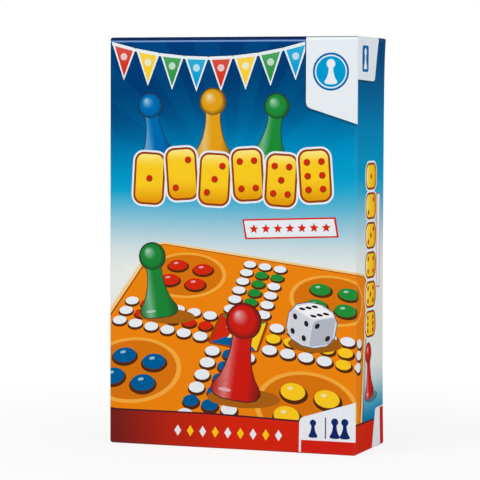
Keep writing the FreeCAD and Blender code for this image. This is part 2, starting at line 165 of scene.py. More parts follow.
def seen_ray(tree):
    """One where the camera, a reflection or a refraction looks, nought for the light that surfaces get."""
    path = tree.nodes.new("ShaderNodeLightPath").outputs
    seen = math_node(tree, "MAXIMUM", path["Is Camera Ray"], path["Is Glossy Ray"])
    return math_node(tree, "MAXIMUM", seen, path["Is Transmission Ray"])


world = bpy.data.worlds.new("studio")
world.use_nodes = True
tree = world.node_tree
strength = ranged(tree, seen_ray(tree), (0.0, 1.0), (WORLD_LIGHT, 1.0))
feed(tree, tree.nodes["Background"], {"Color": PURE_WHITE, "Strength": strength})
bpy.context.scene.world = world
bpy.context.scene.view_settings.view_transform = "Standard"
print("the world lights surfaces at", WORLD_LIGHT, "and looks white")

# %% White floor
FLOOR_FADE, FLOOR_GLOW, FLOOR_PAINT = (0.07, 0.30), (0.84, 1.0), (0.93, 0.93, 0.93, 1.0)
FLOOR_HALF, FLOOR_BELOW = 4.0, 1e-4
floor_material = bpy.data.materials.new("studio_floor")
floor_material.use_nodes = True
tree = floor_material.node_tree
tree.nodes.remove(tree.nodes["Principled BSDF"])
place = add_node(tree, "ShaderNodeTexCoord").outputs["Object"]
far = add_node(tree, "ShaderNodeVectorMath", {0: place}, operation="LENGTH").outputs["Value"]
fade = ranged(tree, far, FLOOR_FADE, FLOOR_GLOW, interpolation_type="SMOOTHSTEP")
paint = add_node(tree, "ShaderNodeBsdfDiffuse", {"Color": FLOOR_PAINT}).outputs[0]
glow = add_node(tree, "ShaderNodeEmission", {"Color": PURE_WHITE, "Strength": 1.0}).outputs[0]
glowing = math_node(tree, "MULTIPLY", fade, seen_ray(tree))
mixed = add_node(tree, "ShaderNodeMixShader", {0: glowing, 1: paint, 2: glow}).outputs[0]
feed(tree, tree.nodes["Material Output"], {"Surface": mixed})

floor_mesh = bpy.data.meshes.new("floor")
floor_corners = [(FLOOR_HALF * side, FLOOR_HALF * end, -FLOOR_BELOW)
                 for side, end in ((-1, -1), (1, -1), (1, 1), (-1, 1))]
floor_mesh.from_pydata(floor_corners, [], [(0, 1, 2, 3)])
floor_mesh.materials.append(floor_material)
floor = new_object("floor", floor_mesh)
print("the floor is", 2 * FLOOR_HALF, "m wide")

# %% [markdown]
# ## Surface effects that several materials share
# Coated paper, greyboard and moulded plastic each have a grain. Every grain is one shader node group with
# named inputs, placed in the materials with its own values. Edge wear is another group: it takes a mask
# that the mesh carries along its folds, breaks it up with noise and shows a little bare paper there.


# %% Helpers for node groups
def mix_colours(tree, share, first, second, blend="MIX"):
    """What a Mix node makes of two colours, each a value or an output."""
    inputs = {0: share, 6: first, 7: second}
    return add_node(tree, "ShaderNodeMix", inputs, data_type="RGBA", blend_type=blend).outputs[2]


def texture(tree, kind, inputs):
    """The outputs of a procedural texture on the object's own coordinates."""
    place = add_node(tree, "ShaderNodeTexCoord").outputs["Object"]
    return add_node(tree, kind, {"Vector": place, **inputs}).outputs


def shader_group(name, inputs, outputs):
    """A shader node group with named inputs, a tuple for a colour, its input sockets and its output node."""
    tree = bpy.data.node_groups.new(name, "ShaderNodeTree")
    for label, value in inputs.items():
        kind = "NodeSocketColor" if isinstance(value, tuple) else "NodeSocketFloat"
        tree.interface.new_socket(label, in_out="INPUT", socket_type=kind).default_value = value
    for label in outputs:
        kind = "NodeSocketColor" if label == "Colour" else "NodeSocketFloat"
        tree.interface.new_socket(label, in_out="OUTPUT", socket_type=kind)
    return tree, tree.nodes.new("NodeGroupInput").outputs, tree.nodes.new("NodeGroupOutput")


print("group helpers ready")

# %% Paper grain and edge wear
NOISE, MIDDLE_NOISE = "ShaderNodeTexNoise", (0.3, 0.7)
paper_grain, took, gave = shader_group(
    "paper_grain", {"Fibre scale": 900.0, "Wave scale": 14.0, "Gloss": 0.36, "Spread": 0.1},
    ("Height", "Roughness", "Tone"))
fibre = texture(paper_grain, NOISE, {"Scale": took["Fibre scale"], "Detail": 5.0, "Roughness": 0.6})["Fac"]
waves = texture(paper_grain, NOISE, {"Scale": took["Wave scale"], "Detail": 1.0})["Fac"]
low_fibre = math_node(paper_grain, "MULTIPLY", fibre, 0.06)
uneven = math_node(paper_grain, "SUBTRACT", fibre, 0.5)
gloss_change = math_node(paper_grain, "MULTIPLY", uneven, took["Spread"])
feed(paper_grain, gave, {"Height": math_node(paper_grain, "ADD", low_fibre, waves),
                         "Roughness": math_node(paper_grain, "ADD", took["Gloss"], gloss_change),
                         "Tone": ranged(paper_grain, fibre, MIDDLE_NOISE, (0.965, 1.0))})

edge_wear, took, gave = shader_group(
    "edge_wear", {"Colour": PURE_WHITE, "Bare": PURE_WHITE, "Edge": 0.0, "Amount": 0.5}, ("Colour",))
scuffs = texture(edge_wear, NOISE, {"Scale": 420.0, "Detail": 4.0, "Roughness": 0.65})["Fac"]
worn = math_node(edge_wear, "MULTIPLY", took["Edge"], ranged(edge_wear, scuffs, MIDDLE_NOISE, (0.35, 1.0)))
wear_band = ranged(edge_wear, worn, (0.2, 1.0), (0.0, 1.0))
mask = math_node(edge_wear, "MULTIPLY", wear_band, took["Amount"], clamp=True)
feed(edge_wear, gave, {"Colour": mix_colours(edge_wear, mask, took["Colour"], took["Bare"])})
print("groups:", [group.name for group in bpy.data.node_groups])

# %% Card fibre and moulded skin
PURE_BLACK = (0.0, 0.0, 0.0, 1.0)
card_fibre, took, gave = shader_group(
    "card_fibre", {"Light": PURE_WHITE, "Dark": PURE_BLACK, "Scale": 600.0}, ("Colour", "Height"))
pulp = texture(card_fibre, NOISE, {"Scale": took["Scale"], "Detail": 6.0, "Roughness": 0.7})["Fac"]
flecks = texture(card_fibre, "ShaderNodeTexVoronoi", {"Scale": took["Scale"], "Randomness": 1.0})["Distance"]
grey = mix_colours(card_fibre, pulp, took["Dark"], took["Light"])
fleck = ranged(card_fibre, flecks, (0.02, 0.16), (0.55, 0.0))
feed(card_fibre, gave, {"Colour": mix_colours(card_fibre, fleck, grey, took["Dark"]), "Height": pulp})

moulded_skin, took, gave = shader_group(
    "moulded_skin", {"Colour": PURE_WHITE, "Scale": 160.0, "Gloss": 0.25}, ("Colour", "Height", "Roughness"))
skin = texture(moulded_skin, NOISE, {"Scale": took["Scale"], "Detail": 3.0})["Fac"]
shade = ranged(moulded_skin, skin, MIDDLE_NOISE, (0.0, 0.04))
rough = math_node(moulded_skin, "MULTIPLY", skin, 0.12)
feed(moulded_skin, gave, {"Colour": mix_colours(moulded_skin, shade, took["Colour"], PURE_WHITE),
                          "Height": skin,
                          "Roughness": math_node(moulded_skin, "ADD", took["Gloss"], rough)})
print("groups:", [group.name for group in bpy.data.node_groups])

# %% [markdown]
# ## Materials
# The print itself is colour on the mesh, as the next part explains. Its material reads that colour from an
# attribute and adds the coated paper's grain and gloss and the folds' wear. The other materials give
# greyboard, gummed tape, vacuum-formed sheet, injection-moulded pawns and the die their own grain.

# %% Printed papers
BARE_PAPER = (0.8, 0.78, 0.74, 1.0)


def new_material(name):
    """A material, its tree and its Principled BSDF."""
    material = bpy.data.materials.new(name)
    material.use_nodes = True
    return material, material.node_tree, material.node_tree.nodes["Principled BSDF"]


def relief(tree, height, strength, distance):
    """The normal of a fine relief."""
    inputs = {"Strength": strength, "Distance": distance, "Height": height}
    return add_node(tree, "ShaderNodeBump", inputs).outputs[0]


def use_group(tree, group, inputs):
    """Place a node group in a material with its own values and links, and return its outputs."""
    return add_node(tree, "ShaderNodeGroup", inputs, node_tree=group).outputs


def printed_paper(name, gloss, wear):
    """Paper that shows the mesh's own print, with grain, gloss and worn folds."""
    material, tree, shader = new_material(name)
    colour = add_node(tree, "ShaderNodeAttribute", attribute_name="print").outputs["Color"]
    edge = add_node(tree, "ShaderNodeAttribute", attribute_name="fold").outputs["Fac"]
    grain = use_group(tree, paper_grain, {"Gloss": gloss})
    tinted = mix_colours(tree, 1.0, colour, grain["Tone"], "MULTIPLY")
    worn = use_group(tree, edge_wear, {"Colour": tinted, "Edge": edge, "Bare": BARE_PAPER, "Amount": wear})
    feed(tree, shader, {"Base Color": worn["Colour"], "Roughness": grain["Roughness"],
                        "Specular IOR Level": 0.002, "Normal": relief(tree, grain["Height"], 0.12, 0.0004)})
    return material


lid_print = printed_paper("lid_print", 0.50, 0.02)
base_print = printed_paper("base_print", 0.50, 0.02)
board_print = printed_paper("board_print", 0.42, 0.35)
leaflet_print = printed_paper("leaflet_print", 0.55, 0.2)
print("materials:", len(bpy.data.materials))


# %% Card and plain paper
def linear(colour):
    """A colour written as it looks on screen, as the linear light that Blender works in."""
    return tuple(c / 12.92 if c <= 0.04045 else ((c + 0.055) / 1.055) ** 2.4 for c in colour)


def fibre_card(name, light, dark, scale):
    """Unprinted board or paper with visible fibres."""
    material, tree, shader = new_material(name)
    card = use_group(tree, card_fibre, {"Light": (*linear(light), 1.0), "Dark": (*linear(dark), 1.0),
                                        "Scale": scale})
    feed(tree, shader, {"Base Color": card["Colour"], "Roughness": 0.9, "Specular IOR Level": 0.25,
                        "Normal": relief(tree, card["Height"], 0.35, 0.00012)})
    return material


greyboard = fibre_card("greyboard", (0.70, 0.68, 0.63), (0.50, 0.48, 0.45), 620.0)
gummed_tape = fibre_card("gummed_tape", (0.80, 0.68, 0.50), (0.66, 0.53, 0.37), 480.0)
backing_paper = fibre_card("backing_paper", (0.12, 0.36, 0.60), (0.06, 0.27, 0.50), 900.0)
print("materials:", len(bpy.data.materials))


# %% Plastics
def moulded_plastic(name, colour, gloss, values=None, depth=0.06):
    """Shiny moulded plastic with a faint orange-peel skin."""
    material, tree, shader = new_material(name)
    skin = use_group(tree, moulded_skin, {"Colour": (*linear(colour), 1.0), "Gloss": gloss})
    feed(tree, shader, {"Base Color": skin["Colour"], "Roughness": skin["Roughness"],
                        "Specular IOR Level": 0.32, "Normal": relief(tree, skin["Height"], depth, 0.0003),
                        **(values or {})})
    return material


PAWN_TONES = {"red": (0.80, 0.09, 0.07), "green": (0.08, 0.55, 0.22), "yellow": (0.96, 0.74, 0.06),
              "blue": (0.06, 0.30, 0.68)}
pawn_plastics = {colour: moulded_plastic(f"pawn_{colour}", tone, 0.16)
                 for colour, tone in PAWN_TONES.items()}
tray_sheet = moulded_plastic("tray_sheet", (0.90, 0.91, 0.915), 0.24, depth=0.025)
die_plastic = moulded_plastic("die_plastic", (0.95, 0.94, 0.91), 0.18,
                              {"Subsurface Weight": 0.15, "Subsurface Scale": 0.001})
pip_paint = moulded_plastic("pip_paint", (0.09, 0.09, 0.11), 0.4)
print("materials:", len(bpy.data.materials))

# %% [markdown]
# ## How the print is made
# A printer lays flat areas of ink over each other on a sheet. The script does the same in millimetres: each
# shape is an outline and an ink, painted back to front. One constrained triangulation overlays all the
# outlines, so every triangle lies in exactly one visible shape and takes its ink. Edges then stay crisp at
# any distance and no image is needed. An ink may be a function of the place on the sheet, which gives
# gradients.


# %% Inks
def held(value, low=0.0, high=1.0):
    """A value kept between two limits."""
    return min(max(value, low), high)


def ink(red, green, blue):
    """An ink from its screen values of 0 to 255."""
    return (red / 255, green / 255, blue / 255)


def mingle(first, second, share):
    """An ink between two inks, or a place between two places."""
    share = held(share)
    return tuple(a + (b - a) * share for a, b in zip(first, second))


def graded(stops, place):
    """The ink of a list of (place, ink) stops at a place between them."""
    for (low, first), (high, second) in zip(stops, stops[1:]):
        if place <= high:
            return mingle(first, second, (place - low) / (high - low))
    return stops[-1][1]


print("halfway from black to white:", mingle(ink(0, 0, 0), ink(255, 255, 255), 0.5))


# %% Outlines
def sides(outline):
    """The sides of an outline, each as its two ends."""
    return zip(outline, outline[1:] + outline[:1])


def turns_left(outline):
    """Whether an outline runs anticlockwise."""
    return sum(a[0] * b[1] - b[0] * a[1] for a, b in sides(outline)) > 0


def placed(corners, x, z, turn=0.0, size=1.0):
    """An outline scaled, turned about its own origin and moved."""
    cos, sin = math.cos(math.radians(turn)) * size, math.sin(math.radians(turn)) * size
    return [(x + a * cos - b * sin, z + a * sin + b * cos) for a, b in corners]


def oval(x, z, across, up, turn=0.0, count=28):
    """An ellipse from its two radii, turned by an angle in degrees."""
    corners = [(across * math.cos(k * math.tau / count), up * math.sin(k * math.tau / count))
               for k in range(count)]
    return placed(corners, x, z, turn)


def tile(x, z, width, height, corner, turn=0.0, steps=5):
    """A rectangle with round corners."""
    corners = []
    for quarter, (side, end) in enumerate(((1, 1), (-1, 1), (-1, -1), (1, -1))):
        for step in range(steps + 1):
            angle = (quarter + step / steps) * math.pi / 2
            corners.append((side * (width / 2 - corner) + corner * math.cos(angle),
                            end * (height / 2 - corner) + corner * math.sin(angle)))
    return placed(corners, x, z, turn)


def circle(x, z, radius, count=22):
    """A circle, as an outline with many corners."""
    return oval(x, z, radius, radius, count=count)


def field(left, right, bottom, top):
    """A plain rectangle."""
    return [(left, bottom), (right, bottom), (right, top), (left, top)]


print("a tile's outline has", len(tile(0, 0, 10, 10, 2)), "corners")


# %% A flat sheet of print
def grown(outline, by):
    """An outline moved outwards by a width, each corner along the mean of its two sides' normals."""
    sign = 1.0 if turns_left(outline) else -1.0
    result = []
    for before, here, after in zip(outline[-1:] + outline[:-1], outline, outline[1:] + outline[:1]):
        first = Vector((here[1] - before[1], before[0] - here[0])).normalized()
        second = Vector((after[1] - here[1], here[0] - after[0])).normalized()
        middle = first + second
        reach = by * sign * 2.0 / max(middle.length_squared, 0.7)
        result.append((here[0] + middle.x * reach, here[1] + middle.y * reach))
    return result


def inside(outline, x, z):
    """Whether a place lies in an outline."""
    odd = False
    for (ax, az), (bx, bz) in sides(outline):
        if (az > z) != (bz > z) and x < ax + (bx - ax) * (z - az) / (bz - az):
            odd = not odd
    return odd


class Sheet:
    """A flat sheet of print: a ground ink and the shapes painted over it, back to front."""

    def __init__(self, ground):
        self.ground = ground
        self.layers = []

    def paint(self, outline, colour, inner=()):
        """Paint a shape. Smaller copies of its outline may carry a gradient further in."""
        outline = outline if turns_left(outline) else outline[::-1]
        shade = colour if callable(colour) else (lambda x, z: colour)
        middle = [sum(corner[axis] for corner in outline) / len(outline) for axis in (0, 1)]
        self.layers.append((outline, shade))
        for share in inner:
            self.layers.append(([mingle(middle, corner, share) for corner in outline], shade))

    def rimmed(self, outline, rim, colour, grow):
        """Paint a shape on a grown copy of itself, which leaves a rim of another ink."""
        self.paint(grown(outline, grow), rim)
        self.paint(outline, colour)

    def ink_at(self, x, z):
        """The ink of the topmost shape at a place."""
        shades = (shade for outline, shade in reversed(self.layers) if inside(outline, x, z))
        return next(shades, self.ground)(x, z)


print("a new sheet has", len(Sheet(None).layers), "shapes")


# %% Overlaying the shapes
def overlay(sheet, panels, lines):
    """Cut panels by all shapes and lines: points, and triangles as (corners, panel number, ink)."""
    points, outlines, edges = [], [], []

    def add(outline):
        outlines.append(list(range(len(points), len(points) + len(outline))))
        points.extend(Vector(corner) for corner in outline)

    for panel in panels:
        add(field(*panel))
    for outline, _ in sheet.layers:
        add(outline)
    for start, end in lines:
        edges.append((len(points), len(points) + 1))
        points.extend((Vector(start), Vector(end)))
    spots, _, faces, _, _, covers = geometry.delaunay_2d_cdt(points, edges, outlines, 1, 1e-4, True)
    triangles = []
    for face, cover in zip(faces, covers):
        panel, top = min(cover, default=len(panels)), max(cover, default=0)
        if panel < len(panels):
            shade = sheet.ground if top < len(panels) else sheet.layers[top - len(panels)][1]
            triangles.append((tuple(face), panel, shade))
    return [tuple(spot) for spot in spots], triangles


print("a bare panel makes", len(overlay(Sheet(None), [(0, 1, 0, 1)], [])[1]), "triangles")


# %% From a sheet to a piece
def printed_mesh(name, places, folds, faces, inks, material):
    """A mesh from points in millimetres, with its print and its fold mask as attributes."""
    mesh = bpy.data.meshes.new(name)
    mesh.from_pydata([tuple(c * MM for c in place) for place in places], [], faces)
    values = [value for face in inks for corner in face for value in (*linear(corner), 1.0)]
    mesh.color_attributes.new("print", "FLOAT_COLOR", "CORNER").data.foreach_set("color", values)
    mesh.attributes.new("fold", "FLOAT", "POINT").data.foreach_set("value", folds)
    mesh.materials.append(material)
    return mesh


def close_up(mesh, merge, facing, near):
    """Merge doubles, drop slivers, and turn all faces so that the nearest to a place faces along Y or -Y."""
    work = bmesh.new()
    work.from_mesh(mesh)
    bmesh.ops.remove_doubles(work, verts=work.verts, dist=merge * MM)
    bmesh.ops.dissolve_degenerate(work, dist=0.2 * merge * MM, edges=work.edges)
    bmesh.ops.recalc_face_normals(work, faces=work.faces)
    nearest = min(work.faces, key=lambda face: (face.calc_center_median() - Vector(near) * MM).length)
    if nearest.normal.y * facing < 0:
        bmesh.ops.reverse_faces(work, faces=work.faces)
    work.to_mesh(mesh)
    work.free()
    mesh.shade_smooth()


def thick_piece(name, mesh, thickness):
    """A piece from a sheet's mesh, thickened inwards from its printed side."""
    piece = new_object(name, mesh)
    solidify = piece.modifiers.new("thickness", "SOLIDIFY")
    solidify.thickness = thickness * MM
    solidify.offset = -1.0
    solidify.use_even_offset = False
    print(name, "has", len(mesh.polygons), "triangles")
    return piece


def stand_for(piece, body, node):
    """Say which body a piece rides on and which CAD node it stands for."""
    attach(piece, body)
    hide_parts(node)


print("piece helpers ready")

# %% [markdown]
# ## How the wrap folds
# The real wrap is one sheet: the front, four flaps that fold back round the greyboard's edges, and a strip
# turned over the rim and glued inside. Each flap keeps its place on the flat sheet, so a picture runs from
# the front on to the sides without a break. A place on a flap has a distance along the fold and a distance
# from it, and the path below bends the second one round the fold, along the wall, over the rim and back
# inside.

# %% The path of a flap
FOLD_RADIUS, RIM_RADIUS, RIM, TURN_IN = 1.1, 0.3, 1.9, 14.0
FOLD_LENGTH = FOLD_RADIUS * math.pi / 2
RIM_LENGTH = RIM_RADIUS * math.pi / 2
ACROSS_RIM = RIM - 2 * RIM_RADIUS


def quarter(reach, radius):
    """How far a quarter turn has gone ahead and aside, for a distance along it."""
    angle = reach / radius
    return radius * math.sin(angle), radius * (1 - math.cos(angle))


def flap_path(reach, depth):
    """How far out of the fold line and how far back a place is, for its distance along the flap."""
    wall, inner = depth - FOLD_RADIUS - RIM_RADIUS, FOLD_RADIUS - RIM
    if reach < FOLD_LENGTH:
        return quarter(reach, FOLD_RADIUS)
    reach -= FOLD_LENGTH
    if reach < wall:
        return FOLD_RADIUS, FOLD_RADIUS + reach
    reach -= wall
    if reach < RIM_LENGTH:
        ahead, aside = quarter(reach, RIM_RADIUS)
        return FOLD_RADIUS - aside, depth - RIM_RADIUS + ahead
    reach -= RIM_LENGTH
    if reach < ACROSS_RIM:
        return FOLD_RADIUS - RIM_RADIUS - reach, depth
    reach -= ACROSS_RIM
    if reach < RIM_LENGTH:
        ahead, aside = quarter(reach, RIM_RADIUS)
        return inner + RIM_RADIUS - ahead, depth - aside
    return inner, depth - RIM_RADIUS - (reach - RIM_LENGTH)


print("a fold takes", round(FOLD_LENGTH, 2), "mm of paper")

# %% Lines across a flap
FOLD_RUNS, WALL_RUNS, RIM_RUNS, WALL_MARGIN = 4, 6, 3, 1.2


def flap_steps(depth):
    """Distances along a flap at which the sheet needs a line, and the last one, where the paper ends."""
    wall = depth - FOLD_RADIUS - RIM_RADIUS
    rim = FOLD_LENGTH + wall
    inner_rim = rim + RIM_LENGTH + ACROSS_RIM
    steps = [FOLD_LENGTH * run / FOLD_RUNS for run in range(FOLD_RUNS + 1)]
    steps += [FOLD_LENGTH + WALL_MARGIN]
    steps += [FOLD_LENGTH + wall * run / WALL_RUNS for run in range(1, WALL_RUNS)]
    steps += [rim - WALL_MARGIN]
    steps += [start + RIM_LENGTH * run / RIM_RUNS
              for start in (rim, inner_rim) for run in range(RIM_RUNS + 1)]
    return steps + [inner_rim + RIM_LENGTH + TURN_IN - RIM_RADIUS]


print("a lid flap is", round(flap_steps(lid_high.y - lid_low.y)[-1], 1), "mm long")

# %% [markdown]
# ## Walls that bow
# On the real box the free edges of the lid's walls are not straight: the card pulls in a little between the
# corners, most towards the top of the right side, and the folded edges at the front hold it straight. One
# function gives that small sideways shift for any point, so that paper, greyboard and tape move together.

# %% Bow of the lid's walls
LID_HALF = lid_high.x
LID_DEPTH = lid_high.y - lid_low.y
BOW_RIGHT, BOW_LEFT, BOW_TOP = 0.85, 0.6, 0.3
WALL_REACH = 8.0


def bowed(place):
    """A point of the lid, in millimetres, with its wall's bow added."""
    x, y, z = place
    back_share = max((y - lid_low.y) / LID_DEPTH, 0.0) ** 1.5
    down = held((lid_high.z - z) / (lid_high.z - lid_low.z))
    along = held((x + LID_HALF) / (2 * LID_HALF))
    swell = (1 - abs(2 * down ** 0.7 - 1) ** 4) * back_share
    on_right, on_left, on_top = (held((past + WALL_REACH) / (WALL_REACH - RIM))
                                 for past in (x - LID_HALF, -x - LID_HALF, z - lid_high.z))
    shift = BOW_LEFT * swell * on_left - BOW_RIGHT * swell * on_right
    drop = BOW_TOP * (1 - abs(2 * along - 1) ** 4) * back_share * on_top
    return (x + shift, y, z - drop)


print("bow at the right rim:", round(LID_HALF - bowed((LID_HALF, lid_high.y, 110.0))[0], 2), "mm")

# %% [markdown]
# ## A whole wrap
# A picture laid on a box-shaped mesh would need an image and would have knife-sharp edges. So the wrap is
# laid out flat, as a cross of five panels cut by the lines along which it bends, and then folded. A small
# class holds the measures of one half of the box and says where each place of the flat sheet ends up. Where
# two flaps meet at a corner of the box, a narrow round strip joins them.

# %% Places of a wrap
FOLD_WEAR_WIDTH, FAR_AWAY = 1.3, 99.0


class Wrap:
    """The sheet round one half of the box: its measures, and where its places lie when it is folded."""

    def __init__(self, low, high, closed_front, bend=None):
        self.low, self.high, self.closed_front, self.bend = low, high, closed_front, bend
        self.middle, self.depth = (low.z + high.z) / 2, high.y - low.y
        self.half_x, self.half_z = high.x - FOLD_RADIUS, (high.z - low.z) / 2 - FOLD_RADIUS
        self.steps = flap_steps(self.depth)

    def reaches(self, x, z):
        """How far a place of the sheet is past the front panel's sides and past its ends."""
        return abs(x) - self.half_x, abs(z - self.middle) - self.half_z

    def solid_place(self, x, z, back):
        """A sheet place as a point of the box. The base is closed at the rear, so its sheet faces back."""
        point = (x, self.low.y + back, z) if self.closed_front else (-x, self.high.y - back, z)
        return self.bend(point) if self.bend else point

    def fold_point(self, panel, x, z):
        """A place of a panel as a point of the box, mitred where two flaps turn in."""
        rise = z - self.middle
        out, back = flap_path(max(*self.reaches(x, z), 0.0), self.depth)
        limit_x, limit_z = self.half_x + min(out, 0.0), self.half_z + min(out, 0.0)
        x = math.copysign(self.half_x + out, x) if panel in (1, 2) else held(x, -limit_x, limit_x)
        rise = math.copysign(self.half_z + out, rise) if panel in (3, 4) else held(rise, -limit_z, limit_z)
        return self.solid_place(x, self.middle + rise, back)

    def fold_mask(self, x, z):
        """One on a fold, a rim or a corner, falling to nought a few millimetres away."""
        other, reach = sorted(self.reaches(x, z))
        away = min(abs(reach - FOLD_LENGTH / 2), abs(reach - (self.steps[-1] - TURN_IN)),
                   FAR_AWAY if reach < 0 else abs(other))
        return math.exp(-(away / FOLD_WEAR_WIDTH) ** 2)


lid_fold = Wrap(lid_low, lid_high, True, bowed)
print("the lid's flat sheet is", round(2 * (lid_fold.half_x + lid_fold.steps[-1]), 1), "mm wide")

# %% Panels and lines of a wrap
EDGE_INSETS, RUNS_UP, RUNS_ACROSS = (0.4, 1.2, 3.0), 24, 14


def levels(heights, left, right):
    """Level lines across a sheet."""
    return [((left, z), (right, z)) for z in heights]


def uprights(places, bottom, top):
    """Upright lines on a sheet."""
    return [((x, bottom), (x, top)) for x in places]


def wrap_layout(wrap):
    """The front panel and the four flaps of a wrap, and the lines that it needs to bend."""
    half_x, end = wrap.half_x, wrap.steps[-1]
    bottom, top = wrap.middle - wrap.half_z, wrap.middle + wrap.half_z
    panels = [(-half_x, half_x, bottom, top), (half_x, half_x + end, bottom, top),
              (-half_x - end, -half_x, bottom, top), (-half_x, half_x, top, top + end),
              (-half_x, half_x, bottom - end, bottom)]
    ups = [bottom + (top - bottom) * run / RUNS_UP for run in range(RUNS_UP + 1)]
    ups += [bottom + inset for inset in EDGE_INSETS] + [top - inset for inset in EDGE_INSETS]
    acrosses = [-half_x + 2 * half_x * run / RUNS_ACROSS for run in range(RUNS_ACROSS + 1)]
    acrosses += [side * (half_x - inset) for inset in EDGE_INSETS for side in (-1, 1)]
    lines = levels(ups, -half_x - end, half_x + end) + uprights(acrosses, bottom - end, top + end)
    for step in wrap.steps:
        lines += uprights((-half_x - step, half_x + step), bottom, top)
        lines += levels((bottom - step, top + step), -half_x, half_x)
    return panels, lines


print("the lid's sheet is cut by", len(wrap_layout(lid_fold)[1]), "lines")

# %% Round corners between two flaps
INK_INSET, CORNER_RUNS = 0.05, (math.pi / 6, math.pi / 3)


def zipped(here, there):
    """Triangles between two rows of (point, reach): corners, middle reach, whether the first row goes on."""
    a = b = 0
    while a < len(here) - 1 or b < len(there) - 1:
        first_goes = b == len(there) - 1 or (a < len(here) - 1 and here[a + 1][1] <= there[b + 1][1])
        row, at = (here, a) if first_goes else (there, b)
        yield (here[a][0], there[b][0], row[at + 1][0]), (row[at][1] + row[at + 1][1]) / 2, first_goes
        a, b = (a + 1, b) if first_goes else (a, b + 1)


def turned_row(wrap, places, row, side, rise, angle):
    """Add points with the reaches of a row, turned by an angle round a corner of the box."""
    start = len(places)
    for _, reach in row:
        out, back = flap_path(reach, wrap.depth)
        cos, sin = (math.cos(angle), math.sin(angle)) if out > 0 else (1.0, 1.0)
        x, z = side * (wrap.half_x + out * cos), wrap.middle + rise * (wrap.half_z + out * sin)
        places.append(wrap.solid_place(x, z, back))
    return [(start + number, reach) for number, (_, reach) in enumerate(row)]


def corner_strip(wrap, places, first, last, side, rise):
    """Triangles between the ends of two flaps, each with the sheet place that gives its ink."""
    turned = [turned_row(wrap, places, row, side, rise, angle)
              for row, angle in zip((first, last), CORNER_RUNS)]
    rows = [first, *turned, last]
    for number, (here, there) in enumerate(zip(rows, rows[1:])):
        for corners, reach, first_goes in zipped(here, there):
            on_x = number == 0 or (number == 1 and first_goes)
            x = side * (wrap.half_x + reach if on_x else wrap.half_x - INK_INSET)
            z = wrap.middle + rise * (wrap.half_z - INK_INSET if on_x else wrap.half_z + reach)
            yield corners, (x, z)


print("a corner strip has", len(CORNER_RUNS) + 1, "runs")

# %% Folding a whole sheet round a box
WRAP_PAPER = 0.2


def wrap_box(name, sheet, wrap, material):
    """A printed wrap round one half of the box, folded from its flat sheet."""
    spots, triangles = overlay(sheet, *wrap_layout(wrap))
    used = {}
    places, folds, faces, inks = [], [], [], []
    for face, panel, shade in triangles:
        for corner in face:
            if corner not in used:
                used[corner] = len(places)
                places.append(wrap.fold_point(panel, *spots[corner]))
                folds.append(wrap.fold_mask(*spots[corner]))
        faces.append(tuple(used[corner] for corner in face))
        inks.append([shade(*spots[corner]) for corner in face])

    def end_row(wanted, axis, at):
        """The points of a panel's end, sorted by their reach from the fold."""
        found = {used[corner]: max(wrap.reaches(*spots[corner])) for face, panel, _ in triangles
                 if panel == wanted for corner in face if abs(spots[corner][axis] - at) < 1e-3}
        return sorted(found.items(), key=lambda item: item[1])

    for side, panel_x in ((1, 1), (-1, 2)):
        for rise, panel_z in ((1, 3), (-1, 4)):
            first = end_row(panel_x, 1, wrap.middle + rise * wrap.half_z)
            last = end_row(panel_z, 0, side * wrap.half_x)
            for corners, spot in corner_strip(wrap, places, first, last, side, rise):
                faces.append(corners)
                inks.append([sheet.ink_at(*spot)] * 3)
    folds += [1.0] * (len(places) - len(folds))
    facing, front = (-1, wrap.low.y) if wrap.closed_front else (1, wrap.high.y)
    mesh = printed_mesh(name, places, folds, faces, inks, material)
    close_up(mesh, 2e-3, facing, (0, front, wrap.middle))
    return thick_piece(name, mesh, WRAP_PAPER)


print("wrap maker ready")

# %% [markdown]
# ## The picture on the lid
# The front is a generic design in the colours of the real box: a blue sky that pales downwards, an orange
# ludo board lying in it, bunting, pawns and a die, a row of yellow tiles, white corner tabs and a red band.
# The ludo cross, the pawns and the die are the game's traditional figures.

# %% Inks of the design
NAVY, BLUE, CYAN = ink(2, 58, 112), ink(0, 104, 166), ink(0, 152, 206)
WHITE, CREAM, YELLOW, AMBER = ink(229, 235, 240), ink(252, 234, 150), ink(246, 200, 34), ink(222, 144, 10)
ORANGE, RUST, RED, MAROON = ink(234, 131, 16), ink(150, 66, 12), ink(208, 40, 18), ink(98, 34, 34)
GREEN, TEAL, INDIGO, SOOT = ink(36, 140, 56), ink(0, 92, 150), ink(22, 42, 104), ink(42, 32, 34)
TILE_EDGE, BAND_EDGE, DISC_RIM = ink(146, 60, 20), ink(72, 34, 42), ink(84, 42, 18)
STRIP_RED, PAWN_RED, PAWN_GREEN = ink(206, 34, 22), ink(200, 30, 22), ink(30, 130, 54)
SKY = [(-60.0, ink(0, 98, 152)), (12.0, ink(2, 108, 160)), (18.5, ink(36, 142, 182)),
       (27.5, ink(146, 192, 208)), (33.5, ink(208, 219, 219)), (38.5, ink(228, 232, 229)),
       (84.0, ink(229, 232, 228)), (93.0, ink(204, 220, 224)), (102.0, ink(158, 200, 216)),
       (112.0, ink(92, 178, 208)), (121.0, ink(8, 158, 202)), (131.0, ink(2, 144, 192)),
       (140.0, ink(1, 126, 178)), (149.0, ink(1, 98, 150)), (160.0, ink(1, 74, 126)),
       (172.0, ink(1, 57, 110)), (183.0, ink(2, 60, 119)), (250.0, ink(2, 58, 116))]
print("the sky has", len(SKY), "stops")

# %% Sky
SKY_TILT, TILT_START, TILT_FULL, TILT_LEFT, TILT_RIGHT = 0.11, 112.0, 134.0, -60.0, 90.0
SIDE_DROP, DROP_START, DROP_FULL, SIDE_SPLIT, SIDE_SLOWER = 3.0, 50.0, 80.0, 129.0, 0.35


